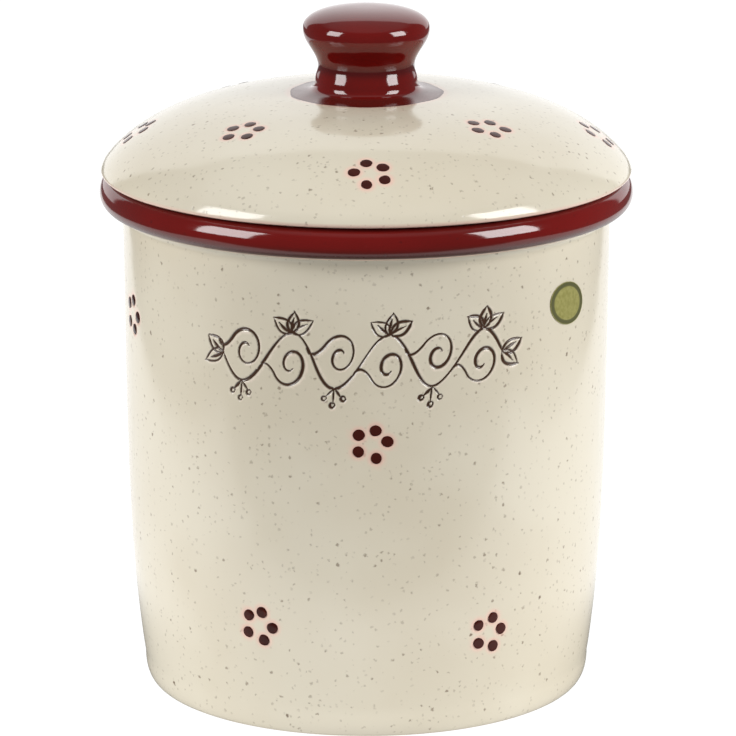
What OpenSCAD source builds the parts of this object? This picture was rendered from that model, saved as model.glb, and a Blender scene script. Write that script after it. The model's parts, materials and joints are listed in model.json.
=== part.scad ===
// Rumtopf pot: a straight-sided stoneware fruit crock with a rolled rim, a domed
// lid that sits in the mouth on a flange, and a waisted knob.
// Millimetres, +Z up. The origin is the centre of the foot, and the decorated
// front faces -Y.

/* [Crock] */
// Height of the seat that the lid rests on, over the table
crock_h = 207.2; // [180:0.2:240]
// Outside diameter that the wall comes to below the rim
belly_d = 193.5; // [170:0.5:220]
// How much the wall would draw in by foot level, on the radius
wall_draw = 9.5; // [4:0.5:14]
// Height over which that drawing in fades out
draw_h = 46; // [30:1:60]
// Height of the rounded heel
heel_h = 11.2; // [6:0.2:16]
// How far the heel turns in to the foot, on the radius
heel_w = 5.5; // [3:0.5:9]
// Wall thickness
wall_t = 6; // [4:0.5:8]
// Floor thickness
floor_t = 8; // [5:0.5:12]
// Radius inside, where the wall meets the floor
inner_corner_r = 16; // [8:1:22]
// Width of the ring that the crock stands on
foot_ring_w = 9; // [5:0.5:14]
// Depth of the recess inside that ring
foot_recess = 2; // [1:0.5:4]
// Rounding of the mouth's inner edge
mouth_edge_r = 2; // [1:0.5:2.5]

/* [Rolled rim] */
// How far the roll stands out from the wall
roll_out = 9; // [7:0.2:12]
// Height of the roll
roll_h = 13.2; // [10:0.2:18]
// Radius of the roll's underside
roll_r = 6; // [4:0.2:6.6]
// Power of the curve over the roll's upper half
roll_power = 2.1; // [2:0.1:4]

/* [Lid] */
// How far the lid's edge stays inside the roll, on the radius
lid_setback = 0.6; // [0:0.1:2]
// Rise of the dome's curve from the lid's edge to the middle
dome_rise = 31.5; // [24:0.1:40]
// Power of the dome's curve over the radius
dome_power = 3.25; // [2.6:0.05:4]
// Power of the dome's curve over the height
dome_round = 1.35; // [1.1:0.05:1.6]
// Thickness of the dome
dome_t = 6; // [4:0.5:8]
// Rounding of the lid's lower edge
lid_edge_r = 1.4; // [0.5:0.1:2]
// How far the dome's curve would run out past the lid's edge, on the radius
lip_overrun = 0.7; // [0.3:0.1:1]
// How far in the rounding of the lip reaches into the dome, on the radius
lip_reach = 2.8; // [1.5:0.1:4]
// Height of the straight wall inside the dome, over the flange
dome_inner_step = 3; // [1:0.5:6]
// Gap between the lid and its seat
seat_gap = 0.2; // [0.1:0.05:0.5]
// Thickness of the flange
flange_t = 5; // [3.5:0.5:8]
// Depth that the flange reaches below the seam
flange_depth = 9; // [6:0.5:16]
// Clearance of the flange in the mouth, on the radius
flange_clear = 1.6; // [0.8:0.1:3]
// Rounding of the flange's foot
flange_edge_r = 1.5; // [0.5:0.25:1.6]
// Diameter of the vent from the dome into the hollow knob
vent_d = 10; // [6:0.5:16]

/* [Knob] */
// Height of the knob over the dome
knob_h = 34.4; // [30:0.2:42]
// Diameter of the skirt where the knob meets the dome
knob_skirt_d = 61.8; // [52:0.2:72]
// Diameter that the skirt curls in to
knob_stem_d = 40.4; // [39:0.2:46]
// Height over which the skirt curls in
knob_curl_h = 0.9; // [0.6:0.02:2]
// Height over the dome where the stem starts to narrow
knob_stem_z = 5.4; // [2:0.2:7]
// Diameter of the waist
knob_waist_d = 38.2; // [34:0.2:39]
// Height of the waist over the dome
knob_waist_z = 11; // [8:0.2:14]
// Diameter of the head
knob_head_d = 50; // [44:0.2:58]
// Height of the head's widest ring over the dome
knob_head_z = 25.6; // [22:0.2:27]
// Power of the curve over the head
knob_top_power = 2.4; // [2:0.1:4]
// Diameter of the hollow in the knob
knob_hollow_d = 23; // [18:0.5:26]
// Height of the hollow in the knob
knob_hollow_h = 22; // [16:0.5:25]

/* [Glaze dots] */
// Diameter of one dot
dot_d = 4.5; // [3:0.1:6]
// Radius of the ring of five dots
flower_r = 5.9; // [5.6:0.1:8]
// How far a dot stands out of the glaze
dot_h = 0.5; // [0.3:0.05:1]
// Height of the lower flowers, as a share of the crock's height
low_share = 0.207; // [0.15:0.001:0.3]
// Height of the middle flowers, as a share of the crock's height
mid_share = 0.585; // [0.4:0.005:0.65]
// Height of the upper flowers, as a share of the crock's height
high_share = 0.753; // [0.68:0.001:0.78]
// How far a hand-placed flower strays in height, as a share of the crock's
stray_share = 0.009; // [0:0.001:0.02]
// Radius of the lid's outer flowers, as a share of the lid's
outer_share = 0.86; // [0.82:0.005:0.88]
// Radius of the lid's inner flowers, as a share of the lid's
inner_share = 0.638; // [0.55:0.002:0.7]
// Radius of the lid's inner flowers behind the knob, as a share of the lid's
back_share = 0.724; // [0.66:0.002:0.76]
// How far a hand-placed flower strays on the lid, as a share of its radius
lid_stray_share = 0.011; // [0:0.001:0.015]

/* [Seal] */
// Width of the seal
seal_w = 22.5; // [16:0.5:30]
// Height of the seal
seal_h = 16.8; // [12:0.2:22]
// Thickness of the seal
seal_t = 0.2; // [0.15:0.05:0.4]
// Distance of the seal's centre below the seam
seal_drop = 40; // [32:0.2:60]
// Angle of the seal round the crock from its front
seal_angle = 53.9; // [40:0.1:80]
// Tilt of the seal on the wall
seal_tilt = -15; // [-20:1:15]

/* [Hidden] */

$fn = 96;
wall_steps = 18;
arc_steps = 8;
dome_steps = 20;
knob_steps = 12;
dots_per_flower = 5;

glaze = "antiquewhite";
red_glaze = "darkred";
dot_glaze = "maroon";
foil = "darkkhaki";

// Radius of the outside wall at height z
function wall_r(z) = belly_d / 2 - wall_draw * exp(-z / draw_h);

// Points of an arc about [r, z] with radius arc_r, between two angles
function arc(r, z, arc_r, from, to) =
    [for (i = [0:arc_steps])
        let (a = from + (to - from) * i / arc_steps)
        [r + arc_r * cos(a), z + arc_r * sin(a)]];

// The rim's underside starts where the fillet below the roll ends
fillet_r = roll_out - roll_r;
neck_z = crock_h - roll_h - fillet_r;
neck_r = wall_r(neck_z);
mouth_r = neck_r - wall_t;
rim_r = neck_r + roll_out;
foot_r = wall_r(heel_h) - heel_w;
ring_in_r = foot_r - foot_ring_w;
floor_z = foot_recess + floor_t;
corner_z = floor_z + inner_corner_r;

// Outside of the wall from the heel to the neck, then the plain neck to the seat
function wall_outline() = concat(
    [for (i = [0:wall_steps])
        let (z = heel_h + (neck_z - heel_h) * i / wall_steps)
        [wall_r(z), z]],
    [[neck_r, crock_h]]);

// Shell of thickness t outside an outline, as a closed ring of points
function shell(points, t) = concat(points, [for (i = [len(points) - 1:-1:0]) points[i] + [t, 0]]);

// Quarter of the rounded heel, from the foot up
heel_power = 2.4;
function heel_outline() =
    [for (i = [0:arc_steps - 1])
        let (a = 90 * i / arc_steps)
        [foot_r + heel_w * pow(sin(a), 2 / heel_power),
         heel_h * (1 - pow(cos(a), 2 / heel_power))]];

// Inside of the wall from the mouth down to the floor's corner
function inner_outline() = concat(
    arc(mouth_r + mouth_edge_r, crock_h - mouth_edge_r, mouth_edge_r, 90, 180),
    [[mouth_r, neck_z]],
    [for (i = [1:wall_steps])
        let (z = neck_z + (corner_z - neck_z) * i / wall_steps)
        [wall_r(z) - wall_t, z]],
    arc(wall_r(corner_z) - wall_t - inner_corner_r, corner_z, inner_corner_r, 0, -90));

module crock_body() {
    color(glaze)
        rotate_extrude()
            polygon(concat(
                [[0, foot_recess], [ring_in_r - foot_recess, foot_recess], [ring_in_r, 0]],
                heel_outline(),
                wall_outline(),
                inner_outline(),
                [[0, floor_z]]));
}

// Upper half of the roll, from the seam out to its widest ring
roll_z = neck_z + fillet_r + roll_r;
function roll_outline() =
    [for (i = [arc_steps:-1:1])
        let (a = 90 * i / arc_steps)
        [rim_r - roll_r + roll_r * pow(cos(a), 2 / roll_power),
         roll_z + (crock_h - roll_z) * pow(sin(a), 2 / roll_power)]];

// The roll is a ring of clay round the neck, glazed by itself
module crock_rim() {
    color(red_glaze)
        rotate_extrude()
            polygon(concat(
                [[neck_r, crock_h]],
                roll_outline(),
                arc(rim_r - roll_r, roll_z, roll_r, 0, -90),
                arc(neck_r + fillet_r, neck_z, fillet_r, 90, 180)));
}

lid_r = rim_r - lid_setback;
dome_r = lid_r + lip_overrun;
lid_z = crock_h + seat_gap;
flange_r = mouth_r - flange_clear;
flange_in_r = flange_r - flange_t;

// Height of the dome's curve over its own base at radius r, grown outwards by grow
function dome_h(r, grow = 0) =
    (dome_rise + grow) * pow(1 - pow(r / (dome_r + grow), dome_power), 1 / dome_round);

// Slope of the dome at radius r, in degrees down from level
function dome_slope(r) =
    atan(dome_rise / dome_round * pow(1 - pow(r / dome_r, dome_power), 1 / dome_round - 1)
        * dome_power / dome_r * pow(r / dome_r, dome_power - 1));

// The lip's large rounding runs from the small one of the edge into the dome's curve
lip_in_r = dome_r - lip_reach;
lip_turn = 90 - dome_slope(lip_in_r);
lip_r = lip_reach / (1 - cos(lip_turn));
lip_from = acos(1 - lip_overrun / (lip_r - lid_edge_r));
lip_z = lid_z + lid_edge_r - (lip_r - lid_edge_r) * sin(lip_from);
dome_base_z = lip_z + lip_r * sin(lip_turn) - dome_h(lip_in_r);

seat_r = knob_skirt_d / 2;
seat_z = dome_base_z + dome_h(seat_r);

// Outside of the dome from the lip's rounding to the knob's seat
dome_from = acos(pow(lip_in_r / dome_r, dome_power / 2));
dome_to = acos(pow(seat_r / dome_r, dome_power / 2));
function dome_outline(grow = 0) =
    [for (i = [0:dome_steps])
        let (a = dome_from + (dome_to - dome_from) * i / dome_steps)
        [(dome_r + grow) * pow(cos(a), 2 / dome_power),
         dome_base_z + (dome_rise + grow) * pow(sin(a), 2 / dome_round)]];

// Underside of the dome from its middle to the flange
inner_power = 3.6;
inner_round = 2;
inner_rise = seat_z - dome_t - lid_z - dome_inner_step;
function dome_inner_outline() =
    [for (i = [1:dome_steps])
        let (a = 90 - 90 * i / dome_steps)
        [flange_in_r * pow(cos(a), 2 / inner_power),
         lid_z + dome_inner_step + inner_rise * pow(sin(a), 2 / inner_round)]];

module lid_dome() {
    color(glaze)
        difference() {
            rotate_extrude()
                polygon(concat(
                    [[0, seat_z - dome_t]],
                    dome_inner_outline(),
                    [[flange_in_r, lid_z]],
                    arc(lid_r - lid_edge_r, lid_z + lid_edge_r, lid_edge_r, -90, lip_from),
                    [for (i = [1:arc_steps]) arc(dome_r - lip_r, lip_z, lip_r, lip_from, lip_turn)[i]],
                    [for (i = [1:dome_steps]) dome_outline()[i]],
                    [[0, seat_z]]));
            translate([0, 0, seat_z - 2 * dome_t])
                cylinder(d = vent_d, h = 3 * dome_t);
        }
}

// The flange keeps the lid in the middle of the mouth
module lid_flange() {
    color(glaze)
        rotate_extrude()
            polygon(concat(
                [[flange_in_r, lid_z]],
                arc(flange_in_r + flange_edge_r, crock_h - flange_depth + flange_edge_r, flange_edge_r, 180, 270),
                arc(flange_r - flange_edge_r, crock_h - flange_depth + flange_edge_r, flange_edge_r, -90, 0),
                [[flange_r, lid_z]]));
}

// Smooth step from 0 to 1 as x goes from 0 to 1
function ease(x) = (1 - cos(180 * x)) / 2;

// The knob's stem below the waist and its flare above it, without the skirt
function knob_core_r(z) =
    z < knob_stem_z ? knob_stem_d / 2 :
    z < knob_waist_z
        ? (knob_stem_d + (knob_waist_d - knob_stem_d) * ease((z - knob_stem_z) / (knob_waist_z - knob_stem_z))) / 2
        : (knob_waist_d + (knob_head_d - knob_waist_d) * ease((z - knob_waist_z) / (knob_head_z - knob_waist_z))) / 2;

// The skirt curls in quickly from the dome
function knob_skirt_r(z) = (knob_skirt_d - knob_stem_d) / 2 * exp(-z / knob_curl_h);

// Outside of the knob up to its widest ring, with more points in the skirt
function knob_side_outline() = concat(
    [for (i = [0:knob_steps])
        let (z = knob_stem_z * pow(i / knob_steps, 2))
        [knob_core_r(z) + knob_skirt_r(z), seat_z + z]],
    [for (i = [1:2 * knob_steps])
        let (z = knob_stem_z + (knob_head_z - knob_stem_z) * i / (2 * knob_steps))
        [knob_core_r(z) + knob_skirt_r(z), seat_z + z]]);

function knob_top_outline() =
    [for (i = [1:knob_steps])
        let (a = 90 * i / knob_steps)
        [knob_head_d / 2 * pow(cos(a), 2 / knob_top_power),
         seat_z + knob_head_z + (knob_h - knob_head_z) * pow(sin(a), 2 / knob_top_power)]];

// The hollow has a round crown and opens down through the vent
hollow_r = knob_hollow_d / 2;
module lid_knob() {
    color(red_glaze)
        rotate_extrude()
            polygon(concat(
                knob_side_outline(),
                knob_top_outline(),
                [for (i = [0:arc_steps])
                    let (a = 90 - 90 * i / arc_steps)
                    [hollow_r * cos(a), seat_z + knob_hollow_h - hollow_r + hollow_r * sin(a)]],
                [[hollow_r, seat_z]]));
}

// A flower is five dots in a ring, the first straight above the centre but for the turn
module flower(turn) {
    for (i = [0:dots_per_flower - 1])
        rotate([0, 0, 90 + turn + 360 * i / dots_per_flower])
            translate([flower_r, 0, 0])
                cylinder(d = dot_d, h = 4 * dot_h + 4 * dot_d, center = true, $fn = 24);
}

// Flowers on the crock: angle from the front, share of the crock's height, turn
crock_flowers = [
    [1.1, mid_share, -14],
    [181, mid_share, 12],
    [-72.4, high_share, -13],
    [106, high_share, 8],
    [-26.7, low_share + stray_share, -19],
    [30.8, low_share - stray_share, -15],
    [106, low_share, 5],
    [182, low_share + stray_share, -11],
    [257.5, low_share, 16]];

module crock_dots() {
    color(dot_glaze)
        intersection() {
            rotate_extrude()
                polygon(shell(wall_outline(), dot_h));
            for (f = crock_flowers)
                rotate([0, 0, f[0]])
                    translate([0, -belly_d / 2, f[1] * crock_h])
                        rotate([90, 0, 0])
                            flower(f[2]);
        }
}

// Flowers on the lid: angle from the front, share of the lid's radius, turn
lid_flowers = [
    [1.1, outer_share - 2 * lid_stray_share, 18],
    [87.5, outer_share + lid_stray_share, -8],
    [181, outer_share, 14],
    [-89.4, outer_share, 5],
    [45.9, inner_share - lid_stray_share, 21],
    [135, back_share, 30],
    [-135, back_share, -5],
    [-44.3, inner_share + lid_stray_share, 20]];

module lid_dots() {
    color(dot_glaze)
        intersection() {
            rotate_extrude()
                polygon(concat(
                    dome_outline(),
                    [for (i = [dome_steps:-1:0]) dome_outline(dot_h)[i]]));
            for (f = lid_flowers)
                rotate([0, 0, f[0] - 90])
                    translate([f[1] * lid_r, 0, dome_base_z + dome_h(f[1] * lid_r)])
                        rotate([0, dome_slope(f[1] * lid_r), 0])
                            rotate([0, 0, 90])
                                flower(f[2]);
        }
}

seal_points = 48;
module seal() {
    color(foil)
        intersection() {
            rotate_extrude()
                polygon(shell(wall_outline(), seal_t));
            rotate([0, 0, seal_angle])
                translate([0, -belly_d / 4, crock_h - seal_drop])
                    rotate([90, 0, 0])
                        rotate([0, 0, seal_tilt])
                            linear_extrude(height = belly_d / 2)
                                polygon([for (i = [0:seal_points - 1])
                                    let (a = 360 * i / seal_points)
                                    [seal_w / 2 * cos(a), seal_h / 2 * sin(a)]]);
        }
}

crock_body();
crock_rim();
lid_dome();
lid_flange();
lid_knob();
crock_dots();
lid_dots();
seal();
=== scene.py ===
"""Looks of a rumtopf pot: a cream stoneware crock with a red rolled rim, a domed lid and a red knob.

Every length is in metres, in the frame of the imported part: +Z up, the foot on z = 0, the decorated front
towards -Y. Angles round the pot are counted from the front, positive towards +X.
"""

import json
import logging
import math
from dataclasses import dataclass, field
from enum import Enum
from typing import Callable, Iterator, Optional, Sequence

import bmesh
import bpy
import numpy as np
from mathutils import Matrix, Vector, kdtree

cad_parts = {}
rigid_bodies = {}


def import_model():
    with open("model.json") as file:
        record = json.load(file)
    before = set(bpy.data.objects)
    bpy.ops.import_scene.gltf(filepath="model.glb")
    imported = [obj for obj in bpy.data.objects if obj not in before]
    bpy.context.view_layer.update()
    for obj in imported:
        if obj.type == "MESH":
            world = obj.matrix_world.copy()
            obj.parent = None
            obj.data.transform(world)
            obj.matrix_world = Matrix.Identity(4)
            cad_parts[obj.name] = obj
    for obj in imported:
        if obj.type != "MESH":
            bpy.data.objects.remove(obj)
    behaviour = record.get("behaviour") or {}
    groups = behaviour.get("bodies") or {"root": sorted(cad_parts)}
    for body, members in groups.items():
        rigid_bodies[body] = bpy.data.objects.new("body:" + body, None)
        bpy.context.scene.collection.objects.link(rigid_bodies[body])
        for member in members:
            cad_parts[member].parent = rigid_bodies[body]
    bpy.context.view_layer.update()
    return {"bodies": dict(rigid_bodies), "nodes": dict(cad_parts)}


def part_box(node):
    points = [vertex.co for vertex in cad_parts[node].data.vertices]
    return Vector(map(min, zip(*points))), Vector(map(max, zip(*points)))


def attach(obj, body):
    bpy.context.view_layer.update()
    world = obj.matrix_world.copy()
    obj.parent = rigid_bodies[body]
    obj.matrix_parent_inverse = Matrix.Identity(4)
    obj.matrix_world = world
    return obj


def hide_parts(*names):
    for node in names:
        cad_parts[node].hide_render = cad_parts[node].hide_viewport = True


LOG = logging.getLogger("rumtopf")
MM = 0.001
SEED = 7
SHARP = math.radians(52.0)
FAR = 1.0
TOUCH = 0.01 * MM
WHITE = (1.0, 1.0, 1.0, 1.0)
Colour = tuple[float, float, float, float]
Given = bpy.types.NodeSocket | float
Waves = tuple[tuple[int, float, float], ...]


class Slot(Enum):
    """The record's material slots."""

    CREAM = "cream_glaze"
    RED = "red_glaze"
    DOT = "dot_glaze"
    FOIL = "foil"


class Body(Enum):
    """The bodies that pieces ride on."""

    CROCK = "crock"
    LID = "lid"


def smooth_step(low: float, high: float, x: np.ndarray) -> np.ndarray:
    """Rises smoothly from 0 at low to 1 at high.

    Args:
        low: where the rise starts.
        high: where it ends.
        x: the values to look up.

    Returns:
        An array of the same shape, from 0 to 1.
    """
    t = np.clip((x - low) / (high - low), 0.0, 1.0)
    return t * t * (3.0 - 2.0 * t)


def ease(x: np.ndarray) -> np.ndarray:
    """Half a cosine wave from 0 to 1 as x goes from 0 to 1."""
    return (1.0 - np.cos(np.pi * np.clip(x, 0.0, 1.0))) / 2.0


def hump(x: np.ndarray, place: float, width: float) -> np.ndarray:
    """A smooth rise to 1 at a place, down again on both sides."""
    return np.exp(-((x - place) / width) ** 2)


def waver(angles: np.ndarray, waves: Waves) -> np.ndarray:
    """Sum of waves round the pot, each with its count, height and phase in radians."""
    return sum(height * np.sin(count * angles + phase) for count, height, phase in waves)


def apart(points: np.ndarray) -> tuple[np.ndarray, np.ndarray, np.ndarray]:
    """Distances from the axis, angles from the front in radians, and heights of positions."""
    return np.hypot(points[:, 0], points[:, 1]), np.arctan2(points[:, 0], -points[:, 1]), points[:, 2]


def around(radius: np.ndarray, angle: np.ndarray, height: np.ndarray) -> np.ndarray:
    """Positions, one row each, at distances from the axis, angles from the front and heights."""
    return np.column_stack([radius * np.sin(angle), -radius * np.cos(angle), height])


def quarter(centre_r: float, centre_z: float, width: float, height: float, power: float, start: float,
            stop: float, steps: int) -> np.ndarray:
    """Points of a squared-off quarter of an ellipse in the profile plane.

    Args:
        centre_r: distance of its centre from the axis.
        centre_z: height of its centre.
        width: its reach away from the axis.
        height: its reach upwards.
        power: how square it is, 2 for an ellipse.
        start: first angle in degrees, 0 pointing away from the axis and 90 along its height.
        stop: last angle in degrees.
        steps: number of steps between them.

    Returns:
        An array of (r, z) rows.
    """
    a = np.radians(np.linspace(start, stop, steps + 1))
    r = centre_r + width * np.cos(a) ** (2 / power)
    return np.column_stack([r, centre_z + height * np.sin(a) ** (2 / power)])


def arc(centre_r: float, centre_z: float, radius: float, start: float, stop: float,
        steps: int) -> np.ndarray:
    """Points of an arc in the profile plane.

    Args:
        centre_r: distance of the arc's centre from the axis.
        centre_z: height of the arc's centre.
        radius: radius of the arc.
        start: first angle in degrees, 0 pointing away from the axis.
        stop: last angle in degrees.
        steps: number of steps between them.

    Returns:
        An array of (r, z) rows.
    """
    a = np.radians(np.linspace(start, stop, steps + 1))
    return np.column_stack([centre_r + radius * np.cos(a), centre_z + radius * np.sin(a)])


def wobble(angle: np.ndarray, height: np.ndarray, seed: int, size: float) -> np.ndarray:
    """Slow unevenness of a thrown wall, always zero or inwards.

    Args:
        angle: angles round the pot, in radians.
        height: heights, in metres.
        seed: which unevenness to draw.
        size: its depth, in metres.

    Returns:
        Radial offsets between -size and 0.
    """
    rng = np.random.default_rng(seed)
    turns_per_metre, most = 12.0, 2.04
    total = np.zeros(np.broadcast(angle, height).shape)
    for turns in (1, 2, 3, 5):
        phase, climb = rng.uniform(0, 2 * np.pi, 2)
        total = total + np.sin(turns * angle + phase + climb * height * turns_per_metre) / turns
    return -size * (0.5 + 0.5 * total / most)


def link_object(name: str, data: bpy.types.ID) -> bpy.types.Object:
    """Makes an object of some data and puts it in the scene."""
    thing = bpy.data.objects.new(name, data)
    bpy.context.scene.collection.objects.link(thing)
    return thing


def new_mesh(name: str, points: Sequence, faces: Sequence = ()) -> bpy.types.Mesh:
    """Makes a mesh of points and faces."""
    mesh = bpy.data.meshes.new(name)
    mesh.from_pydata(points, [], faces)
    return mesh


def skin(name: str, rows: Sequence[np.ndarray], ring: bool = False) -> bpy.types.Object:
    """Joins rows of points that each run round the pot, or round a centre, into a mesh.

    Args:
        name: name of the piece.
        rows: positions, as many in every row, or a single one where a row is a point.
        ring: whether the last row joins the first.

    Returns:
        The new object, smooth shaded, with its faces outwards.
    """
    count = max(len(row) for row in rows)
    starts = np.cumsum([0] + [len(row) for row in rows])
    index = [start + np.arange(count) % len(row) for start, row in zip(starts, rows)]
    faces = []
    for i in range(len(rows) if ring else len(rows) - 1):
        low, high = index[i], index[(i + 1) % len(rows)]
        for j in range(count):
            k = (j + 1) % count
            corners = [low[j], low[k], high[k], high[j]]
            faces.append([int(v) for n, v in enumerate(corners) if v not in corners[:n]])
    piece = link_object(name, new_mesh(name, np.vstack(rows), faces))
    tidy_mesh(piece)
    return piece


def lathe(name: str, radius: np.ndarray, height: np.ndarray, angles: np.ndarray,
          ring: bool = False) -> bpy.types.Object:
    """Turns a profile into a mesh whose rows may differ from column to column.

    Args:
        name: name of the piece.
        radius: distances from the axis, one row per profile point and one column per angle.
        height: heights, in the same layout.
        angles: angles round the pot, in radians.
        ring: whether the last row joins the first.

    Returns:
        The new object, smooth shaded, with its faces outwards.
    """
    rows = []
    for r, z in zip(radius, height):
        row = around(r, angles, z)
        rows.append(row if np.any(r) else row[:1])
    return skin(name, rows, ring)


def turned(name: str, profile: np.ndarray, count: int, ring: bool = False) -> bpy.types.Object:
    """Turns one (r, z) profile into a mesh with a number of columns, joined end to end for a ring."""
    return lathe(name, *columns(profile, count), round_angles(count), ring)


def tidy_mesh(piece: bpy.types.Object) -> None:
    """Turns a mesh's faces outwards and shades it smooth, but for its sharp edges."""
    work = bmesh.new()
    work.from_mesh(piece.data)
    bmesh.ops.recalc_face_normals(work, faces=work.faces)
    for face in work.faces:
        face.smooth = True
    for edge in work.edges:
        edge.smooth = edge.calc_face_angle(0.0) < SHARP
    work.to_mesh(piece.data)
    work.free()


def columns(profile: np.ndarray, count: int) -> tuple[np.ndarray, np.ndarray]:
    """Repeats an (r, z) profile for a number of columns, as a radius and a height array."""
    return np.repeat(profile[:, :1], count, 1), np.repeat(profile[:, 1:], count, 1)


def round_angles(count: int) -> np.ndarray:
    """Even angles for one turn, in radians, starting at the back."""
    return np.linspace(-np.pi, np.pi, count, endpoint=False)


def positions(piece: bpy.types.Object) -> np.ndarray:
    """All vertex positions of a piece, one row each."""
    flat = np.empty(len(piece.data.vertices) * 3)
    piece.data.vertices.foreach_get("co", flat)
    return flat.reshape(-1, 3)


def set_positions(piece: bpy.types.Object, points: np.ndarray) -> None:
    """Writes all vertex positions of a piece."""
    piece.data.vertices.foreach_set("co", points.ravel())
    piece.data.update()


def set_masks(piece: bpy.types.Object, **masks: np.ndarray | float) -> None:
    """Stores numbers on the vertices, for a material to read by name.

    Args:
        piece: the piece.
        masks: for each name, one number per vertex or one for all.
    """
    for name, numbers in masks.items():
        layer = piece.data.attributes.new(name, "FLOAT", "POINT")
        values = np.empty(len(layer.data), np.float32)
        values[:] = numbers
        layer.data.foreach_set("value", values)


def split_near(piece: bpy.types.Object, inside: Callable[[np.ndarray], np.ndarray]) -> None:
    """Halves the edges whose two ends both pass a test.

    Args:
        piece: the piece to refine.
        inside: says of an array of positions which ones lie in the region.
    """
    work = bmesh.new()
    work.from_mesh(piece.data)
    work.verts.ensure_lookup_table()
    keep = inside(np.array([v.co for v in work.verts]))
    edges = [e for e in work.edges if keep[e.verts[0].index] and keep[e.verts[1].index]]
    bmesh.ops.subdivide_edges(work, edges=edges, cuts=1, use_grid_fill=True)
    work.to_mesh(piece.data)
    work.free()


def search_tree(points: np.ndarray) -> kdtree.KDTree:
    """A tree that finds the nearest of some points, one row each."""
    tree = kdtree.KDTree(len(points))
    for number, point in enumerate(points):
        tree.insert(point, number)
    tree.balance()
    return tree


def distances(tree: kdtree.KDTree, points: np.ndarray, held: np.ndarray) -> np.ndarray:
    """Distance from each held position to the nearest point of a tree.

    Args:
        tree: the points to look for.
        points: positions, one row each.
        held: which positions count. The others are given the distance FAR.

    Returns:
        One distance per position, in metres.
    """
    gap = np.full(len(points), FAR)
    for i in np.nonzero(held)[0]:
        gap[i] = tree.find(points[i])[2]
    return gap


class Graph:
    """Places nodes in a tree with short calls."""

    def __init__(self, tree: bpy.types.NodeTree) -> None:
        """Keeps the tree."""
        self.tree = tree

    def add(self, kind: str, inputs: Optional[dict] = None, **settings) -> bpy.types.Node:
        """Adds a node.

        Args:
            kind: the node's type.
            inputs: values or sockets for its inputs, by name or number.
            settings: properties of the node.

        Returns:
            The new node.
        """
        node = self.tree.nodes.new(kind)
        for key, value in settings.items():
            setattr(node, key, value)
        for key, value in (inputs or {}).items():
            if isinstance(value, bpy.types.NodeSocket):
                self.tree.links.new(value, node.inputs[key])
            else:
                node.inputs[key].default_value = value
        return node

    def math(self, operation: str, *values) -> bpy.types.NodeSocket:
        """A Math node's result."""
        return self.add("ShaderNodeMath", dict(enumerate(values)), operation=operation).outputs[0]

    def vector(self, operation: str, first, second=None, scale=None) -> bpy.types.Node:
        """A Vector Math node, with the inputs that are given."""
        inputs = {0: first, 1: second, "Scale": scale}
        inputs = {key: value for key, value in inputs.items() if value is not None}
        return self.add("ShaderNodeVectorMath", inputs, operation=operation)

    def mix(self, factor, first, second) -> bpy.types.NodeSocket:
        """A colour between two, by a factor."""
        return self.add("ShaderNodeMix", {0: factor, 6: first, 7: second}, data_type="RGBA").outputs[2]

    def ramp(self, value, low: float, high: float, to_low: Given = 0.0,
             to_high: Given = 1.0) -> bpy.types.NodeSocket:
        """A value carried smoothly from one range to another."""
        inputs = {"Value": value, "From Min": low, "From Max": high, "To Min": to_low, "To Max": to_high}
        return self.add("ShaderNodeMapRange", inputs, interpolation_type="SMOOTHSTEP").outputs[0]

    def mask(self, name: str) -> bpy.types.NodeSocket:
        """A piece's own stored number."""
        return self.add("ShaderNodeAttribute", attribute_name=name).outputs["Fac"]

    def place(self) -> bpy.types.NodeSocket:
        """The object coordinates, in metres."""
        return self.add("ShaderNodeTexCoord").outputs["Object"]

    def noise(self, place, scale: float, detail: float, output: str = "Fac") -> bpy.types.NodeSocket:
        """A noise at a place, with a number of waves per metre."""
        node = self.add("ShaderNodeTexNoise", {"Vector": place, "Scale": scale, "Detail": detail})
        return node.outputs[output]


@dataclass(frozen=True)
class SpeckSize:
    """One size of iron speck: its cell, its reach in cells, the share of empty cells, and its strength."""

    cell: float
    reach: float
    empty: float
    strength: float


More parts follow.
